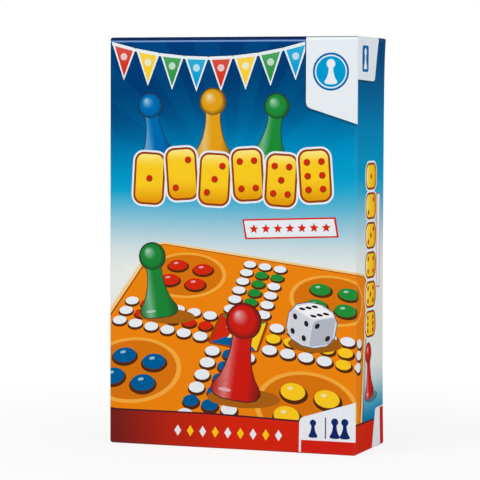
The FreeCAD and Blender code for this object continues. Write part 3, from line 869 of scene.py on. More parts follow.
def sky(x, z):
    """The ground of the wrap: a sky that pales downwards, sooner on the right, slower on the right side."""
    if x > LID_HALF:
        share = held((z - DROP_START) / (DROP_FULL - DROP_START))
        return graded(SKY, z - SIDE_DROP * share - SIDE_SLOWER * max(z - SIDE_SPLIT, 0.0))
    share = held((z - TILT_START) / (TILT_FULL - TILT_START))
    return graded(SKY, z - SKY_TILT * share * held(x, TILT_LEFT, TILT_RIGHT))


print("ink at the top of the front:", [round(value, 2) for value in sky(0.0, 185.0)])

# %% Ludo board
# Lengths on the board are in its own units, so that one drawing serves every sheet
BOARD_EDGES = ((15.8, 0.9, ink(240, 202, 136)), (15.3, 0.7, RUST), (15.1, 0.65, ORANGE))
YARDS = ((-1, 1, RED), (1, 1, GREEN), (1, -1, YELLOW), (-1, -1, TEAL))
ARMS = ((0, 1, GREEN), (1, 0, YELLOW), (0, -1, TEAL), (-1, 0, RED))
YARD, YARD_SPOT, HOME, SQUARE_PITCH, RIM_GROWTH = 4.6, 0.85, 1.3, 0.985, 1.16


def star(x, z, outer, inner):
    """A star with five points, the first one upwards."""
    return [placed([((outer, inner)[k % 2], 0.0)], x, z, 90.0 + 36.0 * k)[0] for k in range(10)]


def ludo_board(sheet, spot, rim_shift):
    """A traditional ludo cross on an orange board. spot puts board units on a sheet, 7.5 to each side."""
    def draw(outline, colour):
        sheet.paint([spot(*corner) for corner in outline], colour)

    def disc(u, v, radius, colour):
        draw(circle(u + rim_shift[0], v + rim_shift[1], radius * RIM_GROWTH), DISC_RIM)
        draw(circle(u, v, radius), colour)

    for width, corner, colour in BOARD_EDGES:
        draw(tile(0, 0, width, width, corner), colour)
    for side, rise, colour in YARDS:
        draw(circle(side * YARD, rise * YARD, 2.55, 40), mingle(ORANGE, CREAM, 0.35))
        draw(circle(side * YARD, rise * YARD, 2.3, 40), mingle(ORANGE, RUST, 0.25))
        for across in (-YARD_SPOT, YARD_SPOT):
            for upward in (-YARD_SPOT, YARD_SPOT):
                u, v = side * YARD + across, rise * YARD + upward
                disc(u, v, 0.62, colour)
                draw(oval(u - 0.18, v + 0.2, 0.16, 0.12, 35.0, 10), mingle(colour, WHITE, 0.65))
    for out_u, out_v, colour in ARMS:
        for step in range(2, 8):
            for lane in (-1, 0, 1):
                u, v = out_u * step + out_v * lane, out_v * step - out_u * lane
                home = lane == 0 and step < 7
                start = lane == 1 and step == 6
                disc(u * SQUARE_PITCH, v * SQUARE_PITCH, 0.4, colour if home or start else WHITE)
    draw(tile(0, 0, 2.9, 2.9, 0.25), RUST)
    for out_u, out_v, colour in ARMS:
        draw([(0, 0), (HOME * (out_u + out_v), HOME * (out_v - out_u)),
              (HOME * (out_u - out_v), HOME * (out_v + out_u))], colour)
    draw(star(0, 0, 0.85, 0.4), CREAM)


print("a ludo board has", len(YARDS), "yards and", len(ARMS), "arms")

# %% Outline of a pawn
BALL, BALL_UP, BALL_START, BALL_STEPS = 0.182, 0.815, 0.6, 9
BALL_ANGLES = [BALL_START + step * (math.pi - BALL_START) / BALL_STEPS for step in range(BALL_STEPS + 1)]
PAWN_HALF = [(0.0, 0.0), (0.14, 0.004), (0.225, 0.03), (0.262, 0.075), (0.262, 0.115), (0.235, 0.16),
             (0.185, 0.235), (0.145, 0.33), (0.118, 0.43), (0.1, 0.54), (0.098, 0.63)]
PAWN_HALF += [(BALL * math.sin(angle), BALL_UP - BALL * math.cos(angle)) for angle in BALL_ANGLES]
# The outline of a plain pawn, one unit tall, with its foot at the origin
PAWN = PAWN_HALF + [(-x, z) for x, z in reversed(PAWN_HALF[1:-1])]


def pawn_sign(sheet, x, z, size, colour):
    """A pawn in one flat ink."""
    sheet.paint(placed(PAWN, x, z, 0.0, size), colour)


print("a pawn's outline has", len(PAWN), "corners")


# %% Shaded pawn
def toned(ground, tone, share):
    """A ground ink with a share of another ink over it, as in a printed shadow."""
    return lambda x, z: mingle(ground(x, z), tone, share)


def draw_pawn(sheet, x, z, size, turn, tone, under=None):
    """A shaded picture of a leaning pawn, with a shadow on its ground where under gives that ground."""
    dark, light = mingle(tone, SOOT, 0.55), mingle(tone, WHITE, 0.45)
    flank = [(-1.0, mingle(tone, dark, 0.35)), (-0.45, light), (-0.1, tone), (0.45, tone), (1.0, dark)]
    globe = [(0.0, mingle(light, WHITE, 0.55)), (0.2, light), (0.5, tone), (0.75, tone), (1.0, dark)]
    cos, sin = math.cos(math.radians(turn)), math.sin(math.radians(turn))
    head_x, head_z = placed([(0.0, BALL_UP)], x, z, turn, size)[0]
    foot_x, foot_z = placed([(-0.12, 0.09)], x, z, turn, size)[0]
    radius = BALL * size
    shine = Vector((-0.4, 0.45)) * radius

    def body(px, pz):
        """Ink by how far across the pawn a place lies."""
        return graded(flank, ((px - x) * cos + (pz - z) * sin) / (0.27 * size))

    def ball(px, pz):
        """Ink by how far out a place lies between the shine and the ball's outline."""
        away = Vector((px - head_x, pz - head_z)) - shine
        along, room = away.dot(shine), radius ** 2 - shine.length_squared
        return graded(globe, (along + math.sqrt(along ** 2 + room * away.length_squared)) / room)

    if under:
        sheet.paint(oval(x + 0.1 * size, z + 0.02 * size, 0.4 * size, 0.1 * size), toned(under, SOOT, 0.35))
    sheet.rimmed(placed(PAWN, x, z, turn, size), mingle(dark, SOOT, 0.4), body, 0.012 * size)
    for squeeze in (0.72, 0.45, 0.1):
        sheet.paint(placed([(a * squeeze, b) for a, b in PAWN], x, z, turn, size), body)
    for share in (1.0, 0.88, 0.75, 0.62, 0.5, 0.35, 0.2, 0.08):
        middle = (head_x + shine.x * (1 - share), head_z + shine.y * (1 - share))
        sheet.paint(circle(*middle, radius * share, 28), ball)
    sheet.paint(oval(foot_x, foot_z, 0.07 * size, 0.02 * size, turn, 14), mingle(light, WHITE, 0.4))


print("pawn picture ready")

# %% Die picture
PIPS = {1: [(0, 0)], 2: [(-1, -1), (1, 1)]}
PIPS[3] = [(-1, -1), (0, 0), (1, 1)]
PIPS[4] = [(-1, -1), (-1, 1), (1, -1), (1, 1)]
PIPS[5] = [(-1, -1), (-1, 1), (0, 0), (1, -1), (1, 1)]
PIPS[6] = [(-1, -1), (-1, 0), (-1, 1), (1, -1), (1, 0), (1, 1)]
DIE_TOP, DIE_DOWN = Vector((0, 0.96)), Vector((0, -1))
DIE_RIGHT, DIE_LEFT = Vector((0.86, -0.32)), Vector((-0.86, -0.32))
DIE_FRONT = DIE_TOP + DIE_RIGHT + DIE_LEFT
DIE_BODY = (DIE_TOP, DIE_TOP + DIE_LEFT, DIE_TOP + DIE_LEFT + DIE_DOWN, DIE_FRONT + DIE_DOWN,
            DIE_TOP + DIE_RIGHT + DIE_DOWN, DIE_TOP + DIE_RIGHT)
# Each face in sight has a corner, two edges from there and a tone
DIE_FACES = ((DIE_TOP, DIE_RIGHT, DIE_LEFT, ink(240, 242, 244)),
             (DIE_FRONT, -DIE_RIGHT, DIE_DOWN, ink(206, 210, 218)),
             (DIE_FRONT, -DIE_LEFT, DIE_DOWN, ink(176, 182, 194)))
DIE_RIM, DIE_EDGE = ink(84, 88, 100), ink(214, 218, 224)


def cut_corners(outline):
    """An outline with every corner cut at a quarter of its sides."""
    return [mingle(a, b, share) for a, b in sides(outline) for share in (0.25, 0.75)]


def draw_die(sheet, x, z, size, turn, numbers, under=None):
    """A picture of a white die with three faces in sight."""
    if under:
        sheet.paint(oval(x + 0.15 * size, z - 0.52 * size, 1.0 * size, 0.3 * size), toned(under, SOOT, 0.4))
    body = placed([tuple(corner) for corner in DIE_BODY], x, z, turn, size * 1.04)
    sheet.rimmed(cut_corners(body), DIE_RIM, DIE_EDGE, 0.03 * size)
    for (corner, first, second, tone), number in zip(DIE_FACES, numbers):
        face = [tuple(corner + first * (0.5 + 0.47 * a) + second * (0.5 + 0.47 * b))
                for a, b in tile(0, 0, 2.0, 2.0, 0.35)]
        sheet.paint(placed(face, x, z, turn, size), tone)
        for a, b in PIPS[number]:
            spot = corner + first * (0.5 + 0.26 * a) + second * (0.5 + 0.26 * b)
            pip = [tuple(spot + first * across + second * upward)
                   for across, upward in circle(0, 0, 0.1, 14)]
            sheet.paint(placed(pip, x, z, turn, size), SOOT)


print("a die picture shows three of", len(PIPS), "faces")

# %% Sky and rays of the front
FRONT = (-LID_HALF + FOLD_RADIUS, LID_HALF - FOLD_RADIUS, lid_low.z + FOLD_RADIUS, lid_high.z - FOLD_RADIUS)
RAYS, RAY_HALF, RAY_MIDDLE, RAY_REACH, RAY_RISE, RAY_STRENGTH = 18, 5.0, (0.0, 118.0), 160.0, 24.0, 0.10
lid_sheet = Sheet(sky)


def clipped(outline, left, right, bottom, top):
    """The part of a convex outline that lies in a rectangle."""
    for axis, limit, sign in ((0, left, 1), (0, right, -1), (1, bottom, 1), (1, top, -1)):
        kept = []
        for a, b in sides(outline):
            here, there = sign * (a[axis] - limit), sign * (b[axis] - limit)
            if here >= 0:
                kept.append(a)
            if here * there < 0:
                kept.append(mingle(a, b, here / (here - there)))
        outline = kept
    return outline


def ray_ink(x, z):
    """The sky with some cyan over it, more of it further up."""
    return mingle(sky(x, z), CYAN, RAY_STRENGTH * held((z - RAY_MIDDLE[1]) / RAY_RISE))


for ray in range(RAYS):
    ends = [placed([(RAY_REACH, 0.0)], *RAY_MIDDLE, 360.0 * ray / RAYS + lean)[0]
            for lean in (-RAY_HALF, RAY_HALF)]
    lid_sheet.paint(clipped([RAY_MIDDLE, *ends], *FRONT), ray_ink)
print("the lid's picture has", len(lid_sheet.layers), "shapes")

# %% Board on the front
BOARD_MIDDLE, BOARD_SIZE, BOARD_TURN, BOARD_TILT, BOARD_SHRINK = (4.0, 54.5), 8.7, -14.0, 0.60, 0.022
BOARD_WIDTH, BOARD_CORNER, _ = BOARD_EDGES[0]


def board_spot(u, v):
    """A board unit as it lies on the lid's picture: turned, tilted back and smaller further away."""
    across, upward = placed([(u, v)], 0.0, 0.0, BOARD_TURN)[0]
    near = 1.0 / (1.0 + BOARD_SHRINK * upward)
    return (BOARD_MIDDLE[0] + BOARD_SIZE * across * near,
            BOARD_MIDDLE[1] + BOARD_SIZE * BOARD_TILT * upward * near)


def board_or_sky(x, z):
    """What a printed shadow darkens: the board where it lies, else the sky."""
    return ORANGE if inside(BOARD_OUTLINE, x, z) else sky(x, z)


BOARD_OUTLINE = [board_spot(*corner) for corner in tile(0, 0, BOARD_WIDTH, BOARD_WIDTH, BOARD_CORNER)]
lid_sheet.paint(placed(BOARD_OUTLINE, 1.8, -4.4), toned(sky, INDIGO, 0.3))
lid_sheet.paint(placed(BOARD_OUTLINE, 0.0, -1.5), RUST)
ludo_board(lid_sheet, board_spot, (0.07, -0.16))
print("the lid's picture has", len(lid_sheet.layers), "shapes")

# %% Bunting on the front
BUNTING_LEFT, BUNTING_RIGHT, BUNTING_TOP, BUNTING_SAG = -59.4, 37.0, 187.0, 7.0
PENNANTS, PENNANT_GAP, PENNANT_DROP, PENNANT_FADE = 8, 2.6, 13.5, 62.5
CORD_STEPS, CORD_BELOW, CORD_ABOVE = 24, 0.5, 0.6
BUNTING_WIDTH = BUNTING_RIGHT - BUNTING_LEFT
PENNANT_PITCH = BUNTING_WIDTH / PENNANTS


def ramp(stops, axis, start):
    """A gradient along the sheet's first or second axis, its stops counted from a place."""
    return lambda *spot: graded(stops, spot[axis] - start)


def cord_height(x):
    """Height of the sagging cord that carries the pennants."""
    share = (x - BUNTING_LEFT) / BUNTING_WIDTH
    return BUNTING_TOP - 4 * BUNTING_SAG * share * (1 - share)


for step in range(PENNANTS):
    left = BUNTING_LEFT + PENNANT_PITCH * step + PENNANT_GAP / 2
    right = left + PENNANT_PITCH - PENNANT_GAP
    middle = (left + right) / 2
    tip = cord_height(middle) - PENNANT_DROP
    colour = (RED, YELLOW, GREEN, CYAN)[step % 4]
    pennant = [(left, cord_height(left)), (middle, tip), (right, cord_height(right))]
    lid_sheet.paint(grown(pennant, 1.3), mingle(NAVY, SOOT, 0.3))
    lid_sheet.paint(grown(pennant, 0.95), WHITE)
    lid_sheet.paint(pennant, ramp([(0.0, colour), (PENNANT_FADE, WHITE)], 1, tip), (0.55, 0.2))
    lid_sheet.paint(circle(middle, tip + 0.68 * PENNANT_DROP, 1.7, 18), mingle(colour, WHITE, 0.8))
cord = [BUNTING_LEFT + BUNTING_WIDTH * step / CORD_STEPS for step in range(CORD_STEPS + 1)]
lid_sheet.paint([(x, cord_height(x) - CORD_BELOW) for x in cord]
                + [(x, cord_height(x) + CORD_ABOVE) for x in reversed(cord)], WHITE)
print("bunting:", PENNANTS, "pennants")

# %% Upper pawns
UPPER_PAWNS = ((-36.0, 32.0, 9.0, ink(0, 104, 172)), (18.0, 32.0, -9.0, ink(30, 136, 56)),
               (-9.0, 34.0, 0.0, ink(222, 156, 24)))
for x, size, lean, tone in UPPER_PAWNS:
    draw_pawn(lid_sheet, x, 132.5, size, lean, tone)
print("upper pawns:", len(UPPER_PAWNS))

# %% Tiles, ribbon and the pieces on the board
TILE_RAMP = [(-12.0, AMBER), (-3.0, YELLOW), (6.0, YELLOW), (12.0, CREAM)]
TILE_PITCH, TILE_LEVEL, PIP_MIDDLE = 16.2, 125.6, 3.5
RIBBON = (29.0, 102.5)


def pip_tile(x, z, width, height, turn, number, colour):
    """A yellow tile with a white keyline, a dark edge and red pips."""
    for more, rounder, tone, inner in ((3.8, 1.8, WHITE, ()), (2.0, 0.9, TILE_EDGE, ()),
                                       (0.0, 0.0, colour, (0.75, 0.45, 0.15))):
        lid_sheet.paint(tile(x, z, width + more, height + more, 0.26 * width + rounder, turn), tone, inner)
    radius = 0.12 * min(width, height)
    for a, b in PIPS[number]:
        px, pz = placed([(0.26 * width * a, 0.28 * height * b)], x, z, turn)[0]
        lid_sheet.paint(circle(px, pz, radius), TILE_EDGE)
        lid_sheet.paint(circle(px - 0.1 * radius, pz + 0.12 * radius, 0.78 * radius), RED)


for number in PIPS:
    x, z = (number - PIP_MIDDLE) * TILE_PITCH, TILE_LEVEL + (1.3, -1.0)[number % 2]
    pip_tile(x, z, 13.4, 22.4, (4.0, -3.0)[number % 2], number, ramp(TILE_RAMP, 1, z))

lid_sheet.paint(placed([(-22, -5.2), (23, -3.4), (21.5, 5.8), (-23.5, 4.0)], *RIBBON), RED)
lid_sheet.paint(placed([(-21.2, -4.4), (22, -2.7), (20.6, 5.0), (-22.6, 3.3)], *RIBBON), WHITE)
for step in range(7):
    lid_sheet.paint(star(RIBBON[0] - 17.8 + 5.8 * step, RIBBON[1] - 0.4 + 0.22 * step, 2.3, 1.05), RED)

draw_pawn(lid_sheet, -35.0, 60.0, 35.0, 8.0, PAWN_GREEN, board_or_sky)
draw_die(lid_sheet, 39.0, 57.0, 13.0, -10.0, (6, 4, 2), board_or_sky)
draw_pawn(lid_sheet, 2.0, 23.0, 45.0, -7.0, PAWN_RED, board_or_sky)
print("the lid's picture has", len(lid_sheet.layers), "shapes")

# %% Band and tabs
BAND_TOP = [(140, 13.0), (60, 14.3), (-10, 16.5), (-130, 16.5)]
BAND_RAMP = [(-66.0, MAROON), (-30.0, mingle(MAROON, RED, 0.75)), (0.0, RED), (140.0, RED)]
BAND_LINE, LOZENGE = 0.8, [(0, -2.6), (1.7, 0), (0, 2.6), (-1.7, 0)]
TAB_LEFT, TAB_MIDDLE, TAB_RINGS = 36.0, (47.8, 174.0), ((8.6, BLUE), (7.6, WHITE), (7.0, CYAN))
TAB = [(TAB_LEFT, 222.5), (TAB_LEFT, 160.0), (36.5, 158.4), (37.8, 157.5), (60.6, 150.3), (60.6, 170.5),
       (85.3, 169.9), (87.4, 170.5), (88.2, 172.2), (93.0, 190.0), (93.0, 222.5)]
LOWER_TAB = [(33.4, 0.6), (33.6, 14.4), (34.1, 15.9), (35.4, 16.8), (60.6, 24.4), (60.6, 0.6)]
SIDE_STRIP = [(85.5, 0.0), (91.0, 17.0), (91.6, 17.9), (93.5, 18.4), (107.0, 18.6), (107.0, 0.0)]
lid_sheet.paint([(-130, -60), (140, -60)] + BAND_TOP, ramp(BAND_RAMP, 0, 0.0))
lid_sheet.paint([(x, z - BAND_LINE) for x, z in reversed(BAND_TOP)] + BAND_TOP, BAND_EDGE)
for step in range(9):
    lid_sheet.paint(placed(LOZENGE, -26.0 + 6.2 * step, 7.6), (WHITE, YELLOW)[step % 2])

lid_sheet.paint(placed(TAB, -0.5, -1.0), toned(sky, SOOT, 0.3))
lid_sheet.paint(TAB, WHITE)
for radius, tone in TAB_RINGS:
    lid_sheet.paint(circle(*TAB_MIDDLE, radius, 40), tone)
pawn_sign(lid_sheet, TAB_MIDDLE[0], 168.3, 11.4, WHITE)
lid_sheet.paint(tile(72.0, 180.0, 10.0, 12.0, 1.6), BLUE)
pawn_sign(lid_sheet, 72.0, 175.2, 9.6, WHITE)
lid_sheet.paint(LOWER_TAB, WHITE)
lid_sheet.paint([(34.4, 0.6), (34.5, 6.2), (60.6, 6.2), (60.6, 0.6)], STRIP_RED)
lid_sheet.paint([(45.9, 7.2), (45.9, 17.0), (46.5, 17.1), (46.5, 7.2)], ink(70, 86, 120))
for x, size in ((40.2, 8.4), (50.6, 9.4), (55.4, 9.4)):
    pawn_sign(lid_sheet, x, 7.4, size, INDIGO)
lid_sheet.paint(SIDE_STRIP, WHITE)
lid_sheet.paint([(98.8, 0.0), (98.8, 17.9), (107.0, 18.1), (107.0, 0.0)], STRIP_RED)

# Painted highlight on the top fold: a pale strip where the fold starts to bend, on the blue and on the tab.
# Painted shade on the rest of the top fold: a darker strip above the painted highlight.
for left, right, bottom, top, tone in ((-LID_HALF, TAB_LEFT, 187.75, 188.45, ink(120, 152, 208)),
                                       (-LID_HALF, TAB_LEFT, 188.65, 191.0, ink(2, 36, 82)),
                                       (TAB_LEFT, LID_HALF, 188.5, 189.3, ink(246, 250, 252)),
                                       (TAB_LEFT, LID_HALF, 189.5, 191.0, ink(150, 156, 160))):
    lid_sheet.paint(field(left, right, bottom, top), tone)
print("the lid's picture has", len(lid_sheet.layers), "shapes")

# %% The sides' and the top's pictures
WALL_MIDDLE = -FOLD_RADIUS + FOLD_LENGTH + (LID_DEPTH - FOLD_RADIUS) / 2
SIDE_MIDDLE, TOP_MIDDLE = LID_HALF + WALL_MIDDLE, lid_high.z + WALL_MIDDLE
SIDE_RAMP = [(-8.0, CREAM), (-2.0, YELLOW), (3.0, YELLOW), (8.0, AMBER)]
for side, tone in ((-1, PAWN_GREEN), (1, PAWN_RED)):
    x = side * SIDE_MIDDLE
    for number in PIPS:
        pip_tile(x, 140.0 - 13.6 * number, 16.0, 10.4, 0.0, number, ramp(SIDE_RAMP, 0, x))
    lid_sheet.paint(tile(x + 12.5, 96.5, 5.4, 44.0, 1.2), RED)
    lid_sheet.paint(tile(x + 12.5, 96.5, 4.2, 42.8, 0.8), WHITE)
    draw_pawn(lid_sheet, x - 1.0, 24.0, 26.0, 6.0 * side, tone, sky)
for number in PIPS:
    pip_tile(-12.0 + (number - PIP_MIDDLE) * 15.0, TOP_MIDDLE, 11.4, 17.0, 0.0, number,
             ramp(TILE_RAMP, 1, TOP_MIDDLE))
print("the lid's picture has", len(lid_sheet.layers), "shapes")

# %% The lid's wrap
lid_wrap = wrap_box("lid_wrap_print", lid_sheet, lid_fold, lid_print)
stand_for(lid_wrap, "lid", "lid_wrap")

# %% [markdown]
# ## Greyboard and tape of the lid
# Under the wrap is a folded tray of greyboard with gummed tape at its corners. Their CAD shapes are right,
# but they have to bow with the paper, so each is a copy of the CAD mesh, cut into short runs and moved by
# the same function.

# %% Bowed copies of the lid's card
CARD_RUNS = ((2, lid_low.z, lid_high.z, RUNS_UP), (0, -LID_HALF, LID_HALF, RUNS_ACROSS),
             (1, lid_low.y, lid_high.y, WALL_RUNS))


def bowed_copy(node, name, material):
    """A copy of a CAD node of the lid that follows the walls' bow."""
    mesh = nodes[node].data.copy()
    mesh.name = name
    mesh.materials.clear()
    mesh.materials.append(material)
    work = bmesh.new()
    work.from_mesh(mesh)
    bmesh.ops.remove_doubles(work, verts=work.verts, dist=1e-6)
    for axis, low, high, count in CARD_RUNS:
        direction = Vector((0, 0, 0))
        direction[axis] = 1.0
        for step in range(1, count):
            at = direction * (low + (high - low) * step / count) * MM
            everything = work.verts[:] + work.edges[:] + work.faces[:]
            bmesh.ops.bisect_plane(work, geom=everything, dist=1e-7, plane_co=at, plane_no=direction)
    for vert in work.verts:
        vert.co = Vector(bowed(vert.co / MM)) * MM
    work.to_mesh(mesh)
    work.free()
    mesh.shade_smooth()
    mesh.set_sharp_from_angle(angle=math.radians(35.0))
    stand_for(new_object(name, mesh), "lid", node)
    print(name, "has", len(mesh.polygons), "faces")


bowed_copy("lid_board", "lid_greyboard", greyboard)
bowed_copy("lid_corner_tapes", "lid_tapes", gummed_tape)

# %% [markdown]
# ## The base's wrap
# The base is wrapped the same way, with its closed side at the back of the standing box. Its back carries a
# plain generic design: the same sky, a ludo board on a white field, and a row of the game's figures.

# %% Back of the base
BACK_MIDDLE, BACK_UNIT = 112.0, 5.4
BACK_PAWNS = (ink(206, 30, 22), ink(30, 136, 56), ink(226, 160, 24), ink(0, 98, 168))
base_sheet = Sheet(sky)
base_sheet.paint(tile(0.0, BACK_MIDDLE, 94.0, 106.0, 5.0), mingle(NAVY, BLUE, 0.4))
base_sheet.paint(tile(0.0, BACK_MIDDLE, 92.0, 104.0, 4.2), WHITE)
ludo_board(base_sheet, lambda u, v: (BACK_UNIT * u, BACK_MIDDLE + BACK_UNIT * v), (0.06, -0.1))
for number, tone in enumerate(BACK_PAWNS):
    draw_pawn(base_sheet, -39.0 + 17.0 * number, 26.0, 24.0, 0.0, tone, sky)
draw_die(base_sheet, 36.0, 33.0, 9.0, 0.0, (5, 3, 6), sky)
base_sheet.paint(field(-110, 110, -60, 14.0), RED)
base_wrap = wrap_box("base_wrap_print", base_sheet, Wrap(*box_mm("base_wrap"), False), base_print)
stand_for(base_wrap, "base", "base_wrap")

# %% [markdown]
# ## The playing board
# The board is a sheet of printed paper glued on two halves of greyboard, folded once with the print inside.
# Both printed halves come from one sheet, cut at the crease. The strip over the crease is bent round it,
# from the right half's face to the left half's face.


# %% Bending one panel
def bent_piece(name, sheet, panel, lines, place, fold, material, thickness, facing, near):
    """A piece from one panel of a sheet. place puts a spot in space, and fold says how worn it is."""
    spots, triangles = overlay(sheet, [panel], lines)
    inks = [[shade(*spots[corner]) for corner in face] for face, _, shade in triangles]
    mesh = printed_mesh(name, [place(*spot) for spot in spots], [fold(*spot) for spot in spots],
                        [face for face, _, _ in triangles], inks, material)
    close_up(mesh, 1e-3, facing, place(*near))
    return thick_piece(name, mesh, thickness)


print("panel maker ready")

# %% Printed halves
EDGE_LINES, EDGE_WEAR_WIDTH, BOARD_UNIT, HALF_SPOT = (0.3, 0.7, 1.3), 0.5, 11.3, 40.0
right_low, right_high = box_mm("board_right_print")
left_high = box_mm("board_left_print")[1]
crease_low, crease_high = box_mm("board_crease")
crease_x, crease_y = (crease_low.x + crease_high.x) / 2, (crease_low.y + crease_high.y) / 2
BOARD_PAPER = right_high.y - right_low.y
board_bottom, board_top = right_low.z, right_high.z
board_mid = (board_bottom + board_top) / 2
near_edge, far_edge = right_low.x - crease_x, right_high.x - crease_x
board_sheet = Sheet(lambda x, z: mingle(ORANGE, CREAM, 0.12))
ludo_board(board_sheet, lambda u, v: (BOARD_UNIT * u, board_mid + BOARD_UNIT * v), (0.05, -0.07))


def half_wear(x, z):
    """One at the free edges of a half, falling to nought a little further in."""
    return math.exp(-(min(far_edge - abs(x), z - board_bottom, board_top - z) / EDGE_WEAR_WIDTH) ** 2)


def half_print(name, side, face_y, node, body):
    """One printed half of the board, from its side of the sheet's crease."""
    left, right = (near_edge, far_edge) if side > 0 else (-far_edge, -near_edge)
    heights = [z for inset in EDGE_LINES for z in (board_bottom + inset, board_top - inset)]
    lines = levels(heights, left, right)
    lines += uprights([side * (far_edge - inset) for inset in EDGE_LINES], board_bottom, board_top)
    piece = bent_piece(name, board_sheet, (left, right, board_bottom, board_top), lines,
                       lambda x, z: (crease_x + abs(x), face_y, z), half_wear, board_print, BOARD_PAPER,
                       -side, (side * HALF_SPOT, board_mid))
    stand_for(piece, body, node)


half_print("board_right_sheet", 1, right_low.y, "board_right_print", "board_right")
half_print("board_left_sheet", -1, left_high.y, "board_left_print", "board_left")

# %% Strip over the crease
CREASE_RUNS, CREASE_SHIFT, CREASE_WEAR, CREASE_WEAR_WIDTH = 8, 0.1, 0.8, 0.35
gap = (right_low.y - left_high.y) / 2
roll = [step * math.pi / CREASE_RUNS for step in range(CREASE_RUNS + 1)]
bend = [(near_edge, gap), (near_edge / 2, gap)]
bend += [(CREASE_SHIFT - gap * math.sin(angle), gap * math.cos(angle)) for angle in roll]
bend += [(near_edge / 2, -gap), (near_edge, -gap)]
lengths = [0.0]
for first, second in zip(bend, bend[1:]):
    lengths.append(lengths[-1] + math.dist(first, second))
columns = [near_edge * (1 - 2 * length / lengths[-1]) for length in lengths]


def crease_place(x, z):
    """Where a place of the flat sheet between the two halves lies on the folded strip."""
    step = next((k for k in range(len(bend) - 2) if x >= columns[k + 1]), len(bend) - 2)
    share = (columns[step] - x) / (columns[step] - columns[step + 1])
    across, away = mingle(bend[step], bend[step + 1], share)
    return crease_x + across, crease_y + away, z


crease = bent_piece("board_crease_strip", board_sheet, (-near_edge, near_edge, board_bottom, board_top),
                    uprights(columns[1:-1], board_bottom, board_top), crease_place,
                    lambda x, z: CREASE_WEAR * math.exp(-(x / CREASE_WEAR_WIDTH) ** 2),
                    board_print, BOARD_PAPER, -1, (near_edge, board_mid))
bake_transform(crease)
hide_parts("board_crease")
print("crease strip spans", round(2 * near_edge, 2), "mm when the board is open")

# %% [markdown]
# ## The rules leaflet
# The leaflet is one sheet folded once, so its outside is a single strip of print: the rear page, the fold
# and the front page. The sheet is drawn flat like the wraps and then bent round its fold. Grey bars stand
# for the rules.

# %% Pages of the leaflet
leaf_low, leaf_high = box_mm("rules_leaflet")
LEAF_ROUND = (leaf_high.y - leaf_low.y) / 2
LEAF_TURN = LEAF_ROUND * math.pi
PAGE = leaf_high.x - leaf_low.x - LEAF_ROUND
LEAF_PAPER, LEAF_INK, BAR_INK = 0.15, ink(240, 240, 236), ink(150, 156, 166)
BAR_PITCH, BAR_HEIGHT, LAST_BAR, LEAF_UNIT = 3.4, 1.3, 0.55, 3.6
page_middle, page_top, rear = PAGE / 2, leaf_high.z, -LEAF_TURN - PAGE
leaf_sheet = Sheet(lambda x, z: LEAF_INK)


def text_bars(left, top, width, count):
    """A paragraph as grey bars, the last one short."""
    for row in range(count):
        length = width * (LAST_BAR if row == count - 1 else 1.0)
        bar = tile(left + length / 2, top - BAR_PITCH * row, length, BAR_HEIGHT, 0.6, steps=2)
        leaf_sheet.paint(bar, BAR_INK)


leaf_sheet.paint(tile(page_middle, page_top - 11.0, PAGE - 10.0, 12.0, 3.0), BLUE)
for step in range(5):
    pawn_sign(leaf_sheet, page_middle - 24.0 + 12.0 * step, page_top - 15.5, 9.0, WHITE)
ludo_board(leaf_sheet, lambda u, v: (page_middle + LEAF_UNIT * u, page_top - 50.0 + LEAF_UNIT * v),
           (0.06, -0.1))
for column in (0, 1):
    for number in (1, 2, 3):
        left, top = 6.0 + 38.0 * column, page_top - 64.0 - 19.0 * number
        text_bars(left + 7.5, top, 26.0, 4)
        leaf_sheet.paint(tile(left + 2.4, top - 1.5, 5.4, 5.4, 1.2, steps=3), RED)
        for a, b in PIPS[number + 3 * column]:
            leaf_sheet.paint(circle(left + 2.4 + 1.3 * a, top - 1.5 + 1.3 * b, 0.55, 10), WHITE)
text_bars(rear + 8.0, page_top - 12.0, PAGE - 16.0, 9)
draw_die(leaf_sheet, rear + page_middle, page_top - 66.0, 11.0, 0.0, (5, 3, 6))
text_bars(rear + 8.0, page_top - 90.0, PAGE - 16.0, 12)
print("leaflet pages:", round(PAGE, 1), "mm wide,", len(leaf_sheet.layers), "shapes")

# %% Folding the leaflet
LEAF_RUNS = 8


def leaf_place(x, z):
    """Where a place of the flat sheet lies: on the front page, round the fold or on the rear page."""
    spine, plane = leaf_low.x + LEAF_ROUND, (leaf_low.y + leaf_high.y) / 2
    angle = held(-x / LEAF_ROUND, 0.0, math.pi)
    along = max(x, 0.0) + max(-x - LEAF_TURN, 0.0)
    return spine + along - LEAF_ROUND * math.sin(angle), plane - LEAF_ROUND * math.cos(angle), z


def leaf_wear(x, z):
    """One at the fold and at the free edges, falling to nought a millimetre or two away."""
    return math.exp(-min(abs(x + LEAF_TURN / 2), x - rear, PAGE - x) ** 2)


fold_places = [-LEAF_TURN * run / LEAF_RUNS for run in range(LEAF_RUNS + 1)]
leaflet = bent_piece("rules_leaflet_sheet", leaf_sheet, (rear, PAGE, leaf_low.z, leaf_high.z),
                     uprights(fold_places, leaf_low.z, leaf_high.z), leaf_place, leaf_wear, leaflet_print,
                     LEAF_PAPER, -1, (page_middle, (leaf_low.z + leaf_high.z) / 2))
stand_for(leaflet, "leaflet", "rules_leaflet")

# %% [markdown]
# ## The pawns
# A pawn is a turned shape: foot, hollow flank, neck and ball. All sixteen are the same, so one Geometry
# Nodes tree turns the half outline round its axis and stands it in its place. The tree runs once for each
# pawn, because each one moves on a body of its own.

# %% Half outline of a pawn
PAWN_FOOT, PAWN_EDGE, PAWN_FOOT_TOP = 5.5, 0.6, 2.2
PAWN_NECK, PAWN_NECK_START, PAWN_HEAD, PAWN_TALL = 2.1, 13.5, 3.9, 22.0
PAWN_HOLLOW = [(0.0, 0.9), (3.6, 0.9), (3.9, 0.6), (3.9, 0.0)]


